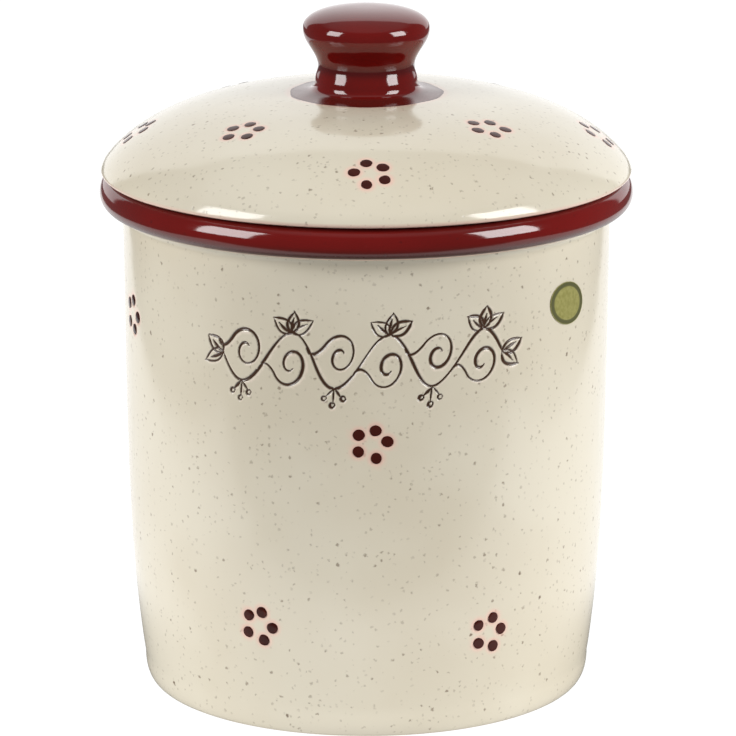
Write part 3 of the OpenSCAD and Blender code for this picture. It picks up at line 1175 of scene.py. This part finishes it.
        def near_scroll(points: np.ndarray) -> tuple[np.ndarray, np.ndarray, np.ndarray]:
            """Finds the nearest stroke.

            Args:
                points: positions, one row each.

            Returns:
                Its distance in half widths of the line and in metres, and the side that it lies on.
            """
            _, angle, z = apart(points)
            along = (angle - math.radians(scroll.centre_angle)) * self.belly
            flat = np.column_stack([along, z - scroll.centre_height])
            ratio, gap = np.full(len(points), scroll.beyond), np.full(len(points), FAR)
            side = np.zeros(len(points))
            for i in np.nonzero(self.on_wall(points) & (np.abs(flat) < window).all(1))[0]:
                found, number, gap[i] = tree.find((*flat[i], 0.0))
                ratio[i] = gap[i] / widths[number]
                side[i] = (flat[i, 0] - found[0]) - (flat[i, 1] - found[1])
            return ratio, gap, side

        def near_dots(points: np.ndarray) -> np.ndarray:
            """Distance to the nearest dot's centre, in metres."""
            return distances(dots, points, self.on_wall(points))

        for line, dot in self.finer:
            split_near(piece, lambda p, s=line, d=dot: (near_scroll(p)[1] < s) | (near_dots(p) < d))
        points = positions(piece)
        ratio, _, side = near_scroll(points)
        gap, wall = near_dots(points), self.on_wall(points)
        r, angle, z = apart(points)
        fade = smooth_step(self.heel_height, self.uneven_from, z)
        fade = fade * smooth_step(self.neck_height, self.neck_height - self.uneven_to_neck, z)
        groove = scroll.depth * (1.0 - smooth_step(*scroll.groove_fade, ratio))
        burr = scroll.burr_height * hump(ratio, *scroll.burr)
        surface = self.wall_radius(z) + fade * wobble(angle, z, self.uneven_seed, self.uneven)
        r = np.where(wall, surface - groove + burr - self.dots.dimple(gap), r)
        set_positions(piece, around(r, angle, z))
        foot = 1.0 - smooth_step(*self.foot_bare, z) * (r > self.belly * 0.85)
        # lip is a painted highlight along the side of each scratched line that faces the light
        set_masks(piece, scratch=1.0 - smooth_step(*scroll.dark_fade, ratio),
                  lip=hump(ratio, *scroll.lit) * smooth_step(*scroll.lit_side, side),
                  stain=self.dots.stain(gap) * wall, bare=(z < self.recess * 1.2) * foot)
        finish_piece(piece, material, Body.CROCK, Slot.CREAM, "crock_body")

    def build_rim(self, red: bpy.types.Material, cream: bpy.types.Material) -> None:
        """Builds the rolled rim.

        Args:
            red: finish over the roll.
            cream: finish under the wavering edge of the red.
        """
        count = self.turns * 2
        angles = round_angles(count)
        edge = np.radians(self.red_edge + waver(angles, self.red_waves))
        low_z = self.seam - self.roll_height + self.roll_radius
        centre = self.rim_radius - self.roll_radius
        shelf = [(self.neck_radius, self.seam), (0.5 * (self.neck_radius + centre), self.seam)]
        top = quarter(centre, low_z, self.roll_radius, self.seam - low_z, self.roll_power, 90, 0, 20)[:-1]
        over = np.linspace(0.0, 1.0, 13)[:, None]
        under = np.linspace(0.0, 1.0, 9)[1:, None]
        turn = np.vstack([edge * over, edge + (-np.pi / 2 - edge) * under])
        worn = np.vstack([smooth_step(self.red_end, 1.0, over), 1.0 - under])
        roll = self.roll_radius - self.red_thick * worn
        fillet = self.rim_radius - self.neck_radius - self.roll_radius
        hollow = arc(self.neck_radius + fillet, self.neck_height, fillet, 90, 180, 8)[1:]
        (top_r, top_z), (hollow_r, hollow_z) = columns(np.vstack([shelf, top]), count), columns(hollow, count)
        radius = np.vstack([top_r, centre + roll * np.cos(turn), hollow_r])
        height = np.vstack([top_z, low_z + roll * np.sin(turn), hollow_z])
        piece = lathe("crock_rim_glazed", radius, height, angles, ring=True)
        piece.data.materials.append(red)
        piece.data.materials.append(cream)
        r, angle, z = apart(positions(piece))
        turn = np.arctan2(z - low_z, r - centre)
        lower = (z < low_z) & (r > self.neck_radius + 0.2 * MM)
        past = np.where(lower, np.interp(angle, angles, edge) - turn, -1.0)
        # painted shade on the top of the roll, in the seam under the lid's edge
        pool = smooth_step(self.seam - self.pool_depth[0], self.seam - self.pool_depth[1], z)
        set_masks(piece, pool=self.pool_share * pool,
                  # thin glaze and painted shade over the lower part of the roll, darker as it turns under
                  thin=smooth_step(*np.radians(self.thin_fade), turn) * (r > centre),
                  stain=(1.0 - smooth_step(0.0, np.radians(self.stain_turn), past)) * (past > -0.01))
        for polygon in piece.data.polygons:
            r, angle, z = (float(v[0]) for v in apart(np.array([polygon.center])))
            below = z < low_z and math.atan2(z - low_z, r - centre) < np.interp(angle, angles, edge)
            polygon.material_index = int(below or r < self.neck_radius + 0.05 * MM)
        finish_piece(piece, red, Body.CROCK, Slot.RED, "crock_rim")

    def build_dots(self, material: bpy.types.Material) -> None:
        """Builds the beads of glaze on the wall."""
        piece = self.dots.build("crock_dots_glazed", *self.dot_places(), material)
        finish_piece(piece, material, Body.CROCK, Slot.DOT, "crock_dots")

    def build_seal(self, material: bpy.types.Material) -> None:
        """Builds the blank foil seal: an oval with a pressed border, bent round the wall."""
        finish_piece(FoilSeal().build(self), material, Body.CROCK, Slot.FOIL, "seal")


@dataclass(frozen=True)
class FoilSeal:
    """An oval seal without any print.

    A pressed line holds its place, as a share of the way from the centre to the edge, and its width. A row of
    small beads runs between the two lines.
    """

    width: float = 22.5 * MM
    height: float = 16.8 * MM
    thick: float = 0.12 * MM
    lift: float = 0.06 * MM
    angle: float = 53.9
    below_seam: float = 40.0 * MM
    tilt: float = -15.0
    rings: int = 26
    spokes: int = 96
    line_height: float = 0.07 * MM
    lines: tuple[tuple[float, float], ...] = ((0.74, 0.025), (0.95, 0.02))
    bead_height: float = 0.05 * MM
    bead_line: tuple[float, float] = (0.845, 0.035)
    bead_count: int = 48
    border_in: tuple[float, float] = (0.77, 0.81)
    border_out: tuple[float, float] = (0.96, 0.98)

    def build(self, crock: Crock) -> bpy.types.Object:
        """Builds the seal on a crock's wall.

        Args:
            crock: the crock that it sticks to.

        Returns:
            The closed mesh with the mask border.
        """
        shares = np.linspace(0.0, 1.0, self.rings)
        angles = np.linspace(0.0, 2 * np.pi, self.spokes, endpoint=False)
        rows, reach = [], []
        for layer, order in ((1, shares), (0, shares[::-1])):
            for share in order:
                around_it = angles if share else angles[:1]
                press = self.line_height * sum(hump(share, *line) for line in self.lines)
                beads = 0.5 + 0.5 * np.cos(self.bead_count * around_it)
                beads = self.bead_height * beads * hump(share, *self.bead_line)
                out = self.lift + layer * (self.thick + press + beads)
                rows.append(self.place(crock, share, around_it, out))
                reach += [share] * len(around_it)
        piece = skin("seal_foil", rows)
        reach = np.array(reach)
        border = smooth_step(*self.border_in, reach) * (1.0 - smooth_step(*self.border_out, reach))
        set_masks(piece, border=border)
        return piece

    def place(self, crock: Crock, share: float, angle: np.ndarray, out: np.ndarray) -> np.ndarray:
        """Finds points of the oval on the wall.

        Args:
            crock: the crock that it sticks to.
            share: distance from the oval's centre, 1 at its edge.
            angle: directions from the centre, in radians.
            out: distances from the wall.

        Returns:
            Positions, one row each.
        """
        x = share * self.width / 2 * np.cos(angle)
        y = share * self.height / 2 * np.sin(angle)
        lean = math.radians(self.tilt)
        along = x * math.cos(lean) - y * math.sin(lean)
        z = crock.seam - self.below_seam + x * math.sin(lean) + y * math.cos(lean)
        radius = crock.wall_radius(z)
        return around(radius + out, math.radians(self.angle) + along / radius, z)


@dataclass
class Lid:
    """The lid: dome, flange, knob and dot flowers."""

    seam: float
    top: float
    radius: float
    mouth: float
    edge: float = 1.4 * MM
    overrun: float = 0.7 * MM
    lip_reach: float = 2.8 * MM
    rise: float = 31.5 * MM
    power: float = 3.25
    roundness: float = 1.35
    thick: float = 6.0 * MM
    inner_step: float = 3.0 * MM
    inner_power: float = 3.6
    gap: float = 0.2 * MM
    flange: float = 5.0 * MM
    flange_depth: float = 9.0 * MM
    flange_clear: float = 1.6 * MM
    flange_edge: float = 1.5 * MM
    vent: float = 10.0 * MM
    vent_edge: tuple[float, float] = (0.5 * MM, 0.8 * MM)
    skirt: float = 30.9 * MM
    stem: float = 20.2 * MM
    curl: float = 0.9 * MM
    stem_height: float = 5.4 * MM
    waist: float = 19.1 * MM
    waist_height: float = 11.0 * MM
    head: float = 25.0 * MM
    head_height: float = 25.6 * MM
    head_power: float = 2.4
    hollow: float = 11.5 * MM
    hollow_height: float = 22.0 * MM
    skirt_waves: Waves = ((5, 0.35 * MM, 1.0), (11, 0.25 * MM, 2.2))
    skirt_in: float = 0.6 * MM
    skirt_stain: float = 0.5
    skirt_stain_fade: tuple[float, float] = (2.2 * MM, 0.3 * MM)
    # painted pink reflection of the red rim along the bottom of the lid's edge
    edge_red_reflection: float = 0.8
    edge_red_reflection_width: float = 4.0 * MM
    edge_red_reflection_fade: tuple[float, float] = (0.6 * MM, 2.2 * MM)
    # painted shade on the knob: a dark reflection at its waist and shade in the crease where it meets the
    # dome
    waist_pool: float = 0.6
    waist_pool_reach: float = 2.0 * MM
    foot_pool: float = 0.5
    run_out: float = 0.6
    run_out_fade: tuple[float, float] = (0.5 * MM, 4.0 * MM)
    brink: float = 0.3
    brink_fade: tuple[float, float] = (2.2 * MM, 0.4 * MM)
    thin_height: float = 2.5 * MM
    uneven: float = 0.2 * MM
    uneven_seed: int = 5
    uneven_reach: tuple[float, float] = (12.0 * MM, 8.0 * MM)
    finer: tuple[float, ...] = (5.4 * MM, 4.2 * MM)
    turns: int = 288
    dots: DotFlowers = DotFlowers(
        seed=SEED + 2, across=4.7 * MM, reach=6.2 * MM, flowers=(
            Flower(1.1, 0.838, 18), Flower(87.5, 0.871, -8), Flower(181, 0.86, 14), Flower(-89.4, 0.86, 5),
            Flower(45.9, 0.627, 21), Flower(135, 0.724, 30), Flower(-135, 0.724, -5),
            Flower(-44.3, 0.649, 20)))

    @property
    def base(self) -> float:
        """Height of the lid's underside."""
        return self.seam + self.gap

    @property
    def curve_radius(self) -> float:
        """Radius where the dome's curve would meet its base."""
        return self.radius + self.overrun

    def dome_rise(self, r: np.ndarray) -> np.ndarray:
        """Height of the dome's curve over its own base at a radius."""
        inner = np.clip(1.0 - (r / self.curve_radius) ** self.power, 0.0, None)
        return self.rise * inner ** (1.0 / self.roundness)

    @property
    def lip(self) -> np.ndarray:
        """Profile of the small rounding of the edge and the large one that leads from it into the dome."""
        big = self.curve_radius
        share = (big - self.lip_reach) / big
        inner = 1.0 - share ** self.power
        fall = self.rise / self.roundness * inner ** (1 / self.roundness - 1)
        fall = fall * self.power / big * share ** (self.power - 1)
        turn = math.pi / 2 - math.atan(fall)
        radius = self.lip_reach / (1.0 - math.cos(turn))
        start = math.acos(1.0 - self.overrun / (radius - self.edge))
        centre = self.base + self.edge - (radius - self.edge) * math.sin(start)
        small = arc(self.radius - self.edge, self.base + self.edge, self.edge, -90.0, math.degrees(start), 10)
        large = arc(big - radius, centre, radius, math.degrees(start), math.degrees(turn), 12)
        return np.vstack([small, large[1:]])

    def dome_height(self, r: np.ndarray) -> np.ndarray:
        """Height of the dome's outside at a radius."""
        join = self.lip[-1]
        return join[1] - self.dome_rise(join[0]) + self.dome_rise(r)

    @property
    def seat(self) -> float:
        """Height of the flat that the knob stands on."""
        return float(self.dome_height(np.array(self.skirt)))

    @property
    def flange_radius(self) -> float:
        """Outside radius of the flange."""
        return self.mouth - self.flange_clear

    def dome_profile(self) -> np.ndarray:
        """Profile of the dome's outside, from the underside of its edge to the vent."""
        lip = self.lip
        start, stop = (math.acos((r / self.curve_radius) ** (self.power / 2))
                       for r in (lip[-1, 0], self.skirt))
        r = self.curve_radius * np.cos(np.linspace(start, stop, 76)[1:]) ** (2 / self.power)
        flat = np.linspace(self.skirt, self.vent / 2, 6)[1:]
        return np.vstack([lip, np.column_stack([r, self.dome_height(r)]),
                          np.column_stack([flat, np.full(5, self.seat)])])

    def dot_places(self) -> tuple[np.ndarray, np.ndarray]:
        """Works out where the dots sit.

        Returns:
            Their places on the dome and the outward directions there, one row each.
        """
        places, normals = [], []
        for flower, aside, up in self.dots.layout():
            r = flower.place * self.radius
            turn = math.radians(flower.angle) + aside / r
            dot_r = r - up * math.cos(self.slope(r))
            tilt = self.slope(dot_r)
            places.append(around(dot_r, turn, float(self.dome_height(np.array(dot_r))))[0])
            normals.append(around(math.sin(tilt), turn, math.cos(tilt))[0])
        return np.array(places), np.array(normals)

    def slope(self, r: float) -> float:
        """Fall of the dome at a radius, in radians."""
        step = 0.4 * MM
        fall = self.dome_height(np.array([r - step, r + step]))
        return math.atan2(float(fall[0] - fall[1]), 2 * step)

    def underside(self) -> np.ndarray:
        """Profile from the vent down the hollow of the dome and out over the bare seat."""
        vent, ring = self.vent / 2, self.flange_radius - self.flange
        ceiling = self.seat - self.thick
        a = np.radians(np.linspace(90.0, 0.0, 26))
        rise = ceiling - self.base - self.inner_step
        hollow = np.column_stack([ring * np.cos(a) ** (2 / self.inner_power),
                                  self.base + self.inner_step + rise * np.sin(a)])
        hole = [(vent, self.seat - 2.0 * MM), (vent, ceiling + self.vent_edge[1]),
                (vent + self.vent_edge[0], ceiling)]
        shelf = [(ring, self.base + 0.3 * MM), (ring + 0.3 * MM, self.base),
                 (0.5 * (ring + self.radius), self.base), (self.radius - 2.0 * self.edge, self.base)]
        return np.vstack([hole, hollow[hollow[:, 0] > vent + 1.0 * MM], shelf])

    def build_dome(self, material: bpy.types.Material) -> None:
        """Builds the dome with its hollow underside.

        Args:
            material: its finish.
        """
        profile = np.vstack([self.dome_profile(), self.underside()])
        piece = turned("lid_dome_glazed", profile, self.turns, ring=True)
        dots = search_tree(self.dot_places()[0])

        def near(points: np.ndarray) -> np.ndarray:
            """Distance to the nearest dot on the outside, in metres."""
            return distances(dots, points, self.on_dome(points))

        for reach in self.finer:
            split_near(piece, lambda p, d=reach: near(p) < d)
        points = positions(piece)
        gap, dome = near(points), self.on_dome(points)
        r, angle, z = apart(points)
        fade = smooth_step(self.skirt, self.skirt + self.uneven_reach[0], r)
        fade = fade * smooth_step(self.radius, self.radius - self.uneven_reach[1], r)
        dip = wobble(angle, r, self.uneven_seed, self.uneven) * fade - self.dots.dimple(gap)
        points[:, 2] = z = np.where(dome, self.dome_height(r) + dip, z)
        set_positions(piece, points)
        near_skirt, at_skirt = (self.skirt + reach for reach in self.skirt_stain_fade)
        skirt = self.skirt_stain * smooth_step(near_skirt, at_skirt, r) * dome
        # painted pink reflection of the red rim along the bottom of the lid's edge, carried in the stain mask
        edge = 1.0 - smooth_step(*self.edge_red_reflection_fade, z - self.base)
        edge = edge * (r > self.radius - self.edge_red_reflection_width)
        stain = self.dots.stain(gap) * dome + skirt + edge * self.edge_red_reflection
        seat = (np.abs(z - self.base) < 0.2 * MM) & (r > self.flange_radius) & (r < self.radius - 1.5 * MM)
        set_masks(piece, stain=np.clip(stain, 0.0, 1.0), scratch=0.0, lip=0.0, bare=seat)
        finish_piece(piece, material, Body.LID, Slot.CREAM, "lid_dome")

    def on_dome(self, points: np.ndarray) -> np.ndarray:
        """Says which positions lie on the dome's outside, clear of the knob's flat."""
        r, _, z = apart(points)
        ring = (r < self.lip[-1, 0] - 1e-6) & (r > self.skirt - 1e-6)
        return ring & (np.abs(z - self.dome_height(r)) < 1.0 * MM)

    def build_flange(self, material: bpy.types.Material) -> None:
        """Builds the ring that keeps the lid in the mouth.

        Args:
            material: its finish.
        """
        out, inner = self.flange_radius, self.flange_radius - self.flange
        e = self.flange_edge
        low = self.seam - self.flange_depth + e
        sides = np.linspace(low, self.base, 5)[1:]
        profile = np.vstack([
            arc(inner + e, low, e, 180, 270, 6), arc(out - e, low, e, -90, 0, 6),
            np.column_stack([np.full(4, out), sides]), np.column_stack([np.full(4, inner), sides[::-1]])])
        piece = turned("lid_flange_glazed", profile, self.turns, ring=True)
        set_masks(piece, scratch=0.0, lip=0.0, stain=0.0, bare=0.0)
        finish_piece(piece, material, Body.LID, Slot.CREAM, "lid_flange")

    def knob_radius(self, z: np.ndarray) -> np.ndarray:
        """Radius of the knob at a height over its seat, up to the widest ring."""
        fall = ease((z - self.stem_height) / (self.waist_height - self.stem_height))
        rise = ease((z - self.waist_height) / (self.head_height - self.waist_height))
        low = self.stem + (self.waist - self.stem) * fall
        high = self.waist + (self.head - self.waist) * rise
        return np.where(z < self.waist_height, low, high) + (self.skirt - self.stem) * np.exp(-z / self.curl)

    def build_knob(self, material: bpy.types.Material) -> None:
        """Builds the hollow knob with its skirt of glaze running out over the dome.

        Args:
            material: its finish.
        """
        angles = round_angles(self.turns)
        z = np.concatenate([self.stem_height * np.linspace(0.0, 1.0, 22) ** 2,
                            np.linspace(self.stem_height, self.head_height, 54)[1:]])
        side = np.column_stack([self.knob_radius(z), self.seat + z])
        cap = self.top - self.seat - self.head_height
        crown = quarter(0.0, self.seat + self.head_height, self.head, cap, self.head_power, 0, 90, 25)[1:]
        outer_r, outer_z = columns(np.vstack([side, crown]), self.turns)
        waves = waver(angles, self.skirt_waves) - self.skirt_in
        outer_r = outer_r + waves[None, :] * np.exp(-(outer_z - self.seat) / self.curl)
        centre = self.seat + self.hollow_height - self.hollow
        bell = arc(0.0, centre, self.hollow, 90, 0, 12)
        foot = np.column_stack([np.full(4, self.hollow), np.linspace(centre, self.seat, 5)[1:]])
        inner_r, inner_z = columns(np.vstack([bell, foot]), self.turns)
        outer_r[-1] = inner_r[0] = 0.0
        outside = lathe("lid_knob_glazed", outer_r, outer_z, angles)
        piece = self.join_shell(outside, lathe("lid_knob_inside", inner_r, inner_z, angles))
        r, _, z = apart(positions(piece))
        h = z - self.seat
        run_start, run_end = (self.stem + reach for reach in self.run_out_fade)
        brink_start, brink_end = (self.skirt - back for back in self.brink_fade)
        # painted shade: a dark reflection at the waist and shade in the crease where the knob meets the dome
        pool = self.waist_pool * hump(h, self.waist_height, self.waist_pool_reach)
        pool = pool + self.foot_pool * np.exp(-h / self.curl) * (r < run_end)
        # on the knob this mask is thin glaze only, where it runs out over the dome
        thin = self.run_out * smooth_step(run_start, run_end, r)
        thin = thin + self.brink * smooth_step(brink_start, brink_end, r)
        set_masks(piece, pool=np.clip(pool, 0.0, 1.0), thin=thin * (h < self.thin_height))
        finish_piece(piece, material, Body.LID, Slot.RED, "lid_knob")

    @staticmethod
    def join_shell(outside: bpy.types.Object, inside: bpy.types.Object) -> bpy.types.Object:
        """Joins an outside and an inside at their open rims.

        Args:
            outside: the outer shell, which is kept.
            inside: the inner shell, which is taken up.

        Returns:
            The closed outside.
        """
        work = bmesh.new()
        work.from_mesh(outside.data)
        work.from_mesh(inside.data)
        bmesh.ops.bridge_loops(work, edges=[e for e in work.edges if e.is_boundary])
        work.to_mesh(outside.data)
        work.free()
        bpy.data.objects.remove(inside)
        tidy_mesh(outside)
        return outside

    def build_dots(self, material: bpy.types.Material) -> None:
        """Builds the beads of glaze on the dome."""
        piece = self.dots.build("lid_dots_glazed", *self.dot_places(), material)
        finish_piece(piece, material, Body.LID, Slot.DOT, "lid_dots")


@dataclass(frozen=True)
class PhotoCamera:
    """The camera at the photograph's viewing angle.

    The numbers come from the photograph of 736 by 736 pixels, fitted to the pot's circles.
    """

    distance: float = 2078.0 * MM
    elevation: float = 14.36
    target_height: float = 126.6 * MM
    sideways: float = 0.68 * MM
    lens: float = 254.1
    nearest: float = 50.0 * MM

    def build(self) -> None:
        """Makes the camera and sets it as the scene's."""
        camera = bpy.data.cameras.new("photo_camera")
        camera.lens = self.lens
        camera.sensor_width = 36.0
        camera.clip_start = self.nearest
        camera.dof.use_dof = False
        holder = link_object("photo_camera", camera)
        tilt = math.radians(self.elevation)
        height = self.target_height + self.distance * math.sin(tilt)
        holder.location = (self.sideways, -self.distance * math.cos(tilt), height)
        holder.rotation_euler = (math.pi / 2 - tilt, 0.0, 0.0)
        bpy.context.scene.camera = holder


@dataclass(frozen=True)
class Softbox:
    """A soft light: its direction from the pot and its size and power, in degrees, metres and watts."""

    azimuth: float
    elevation: float
    distance: float
    width: float
    height: float
    power: float

    def build(self, target: float) -> None:
        """Makes the light.

        Args:
            target: height of the point that it faces.
        """
        light = bpy.data.lights.new("softbox", "AREA")
        light.shape = "RECTANGLE"
        light.size = self.width
        light.size_y = self.height
        light.energy = self.power
        holder = link_object("softbox", light)
        turn = math.radians(self.azimuth)
        lift = math.radians(self.elevation)
        way = Vector((math.sin(turn) * math.cos(lift), -math.cos(turn) * math.cos(lift), math.sin(lift)))
        holder.location = way * self.distance + Vector((0.0, 0.0, target))
        holder.rotation_euler = (math.pi / 2 - lift, 0.0, turn)


@dataclass(frozen=True)
class Studio:
    """A white paper table with a bright backdrop behind it, and two softboxes in an otherwise dim room.

    The backdrop's fades are shares of its half width and of its height, from dark to lit.
    """

    softboxes: tuple[Softbox, ...] = (
        Softbox(-62.0, 20.5, 1.5, 0.69, 0.90, 18.4), Softbox(63.0, 20.5, 1.5, 0.69, 0.90, 20.7))
    target: float = 0.2
    floor_size: float = 8.0
    table_edge: float = 0.22
    table_half: float = 0.5
    table_fade: float = 0.04
    table_light: float = 1.1
    room_light: float = 0.14
    ceiling_light: float = 0.4
    ceiling_fade: tuple[float, float] = (0.6, 0.85)
    shade: float = 0.05
    shade_held: float = 0.1
    shade_start: float = 0.09
    shade_reach: float = 0.21
    backdrop_light: float = 1.3
    backdrop_half_angle: float = 42.0
    backdrop_top: float = 52.0
    side_fade: tuple[float, float] = (1.12, 0.9)
    top_fade: tuple[float, float] = (1.06, 0.94)

    def build(self) -> None:
        """Makes the floor, the softboxes and the room."""
        self.build_floor()
        for softbox in self.softboxes:
            softbox.build(self.target)
        self.build_room()
        bpy.context.scene.view_settings.view_transform = "Standard"

    def build_floor(self) -> None:
        """Makes the floor: white paper that looks white from above and is brightest on the table."""
        half = self.floor_size / 2
        corners = [(-half, -half, 0), (half, -half, 0), (half, half, 0), (-half, half, 0)]
        floor = link_object("floor", new_mesh("floor", corners, [(0, 1, 2, 3)]))
        material, g = new_material("white_paper")
        place = g.place()
        axis = g.add("ShaderNodeSeparateXYZ", {0: place}).outputs
        front, side, soft = -self.table_edge, self.table_half, self.table_fade
        behind = g.ramp(axis["Y"], front - soft, front + soft)
        beside = g.ramp(g.math("ABSOLUTE", axis["X"]), side + soft, side - soft)
        away = g.vector("LENGTH", place).outputs["Value"]
        clear = g.ramp(away, self.shade_start, self.shade_reach, self.shade, 1.0)
        path = g.add("ShaderNodeLightPath").outputs
        mirrored = g.ramp(path["Is Glossy Ray"], 0.0, 1.0, self.shade_held, 1.0)
        clear = g.math("SUBTRACT", 1.0, g.math("MULTIPLY", mirrored, g.math("SUBTRACT", 1.0, clear)))
        lit = g.math("MULTIPLY", g.math("MULTIPLY", behind, beside), clear)
        table = g.ramp(lit, 0.0, 1.0, self.room_light, self.table_light)
        strength = g.math("MAXIMUM", table, path["Is Camera Ray"])
        light = g.add("ShaderNodeEmission", {"Color": WHITE, "Strength": strength})
        g.add("ShaderNodeOutputMaterial", {"Surface": light.outputs[0]})
        floor.data.materials.append(material)

    def build_room(self) -> None:
        """Makes the room as the world around the pot, pale where the camera sees it directly."""
        world = bpy.data.worlds.new("room")
        world.use_nodes = True
        world.node_tree.nodes.clear()
        g = Graph(world.node_tree)
        way = g.add("ShaderNodeSeparateXYZ", {0: g.add("ShaderNodeTexCoord").outputs["Generated"]}).outputs
        ahead = g.math("MAXIMUM", way["Y"], 0.001)
        fades = []
        for across, half_angle, fade in (
                (g.math("ABSOLUTE", way["X"]), self.backdrop_half_angle, self.side_fade),
                (way["Z"], self.backdrop_top, self.top_fade)):
            dark, lit = (math.tan(math.radians(half_angle)) * share for share in fade)
            fades.append(g.ramp(g.math("DIVIDE", across, ahead), dark, lit))
        backdrop = g.math("MULTIPLY", *fades)
        bare = g.ramp(way["Z"], *self.ceiling_fade, self.room_light, self.ceiling_light)
        strength = g.ramp(backdrop, 0.0, 1.0, bare, self.backdrop_light)
        strength = g.math("MAXIMUM", strength, g.add("ShaderNodeLightPath").outputs["Is Camera Ray"])
        sky = g.add("ShaderNodeBackground", {"Color": WHITE, "Strength": strength})
        g.add("ShaderNodeOutputWorld", {"Surface": sky.outputs[0]})
        bpy.context.scene.world = world


def main() -> None:
    """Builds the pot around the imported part."""
    logging.basicConfig(level=logging.INFO, format="%(name)s %(message)s")
    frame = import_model()
    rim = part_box("crock_rim")
    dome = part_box("lid_dome")
    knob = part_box("lid_knob")
    LOG.info("nodes of the part: %d", len(frame["nodes"]))
    PhotoCamera().build()
    Studio().build()
    finishes = Finishes.make()

    crock = Crock(seam=rim[1][2], rim_radius=rim[1][0])
    crock.build_body(finishes.cream)
    crock.build_rim(finishes.red, finishes.cream)
    crock.build_dots(finishes.dot)
    crock.build_seal(finishes.foil)

    lid = Lid(seam=rim[1][2], top=knob[1][2], radius=dome[1][0], mouth=crock.neck_radius - crock.wall)
    lid.build_dome(finishes.cream)
    lid.build_flange(finishes.cream)
    lid.build_knob(finishes.red)
    lid.build_dots(finishes.dot)

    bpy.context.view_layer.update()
    for body in frame["bodies"]:
        LOG.info("body %s is dressed", body)


if __name__ == "__main__":
    main()
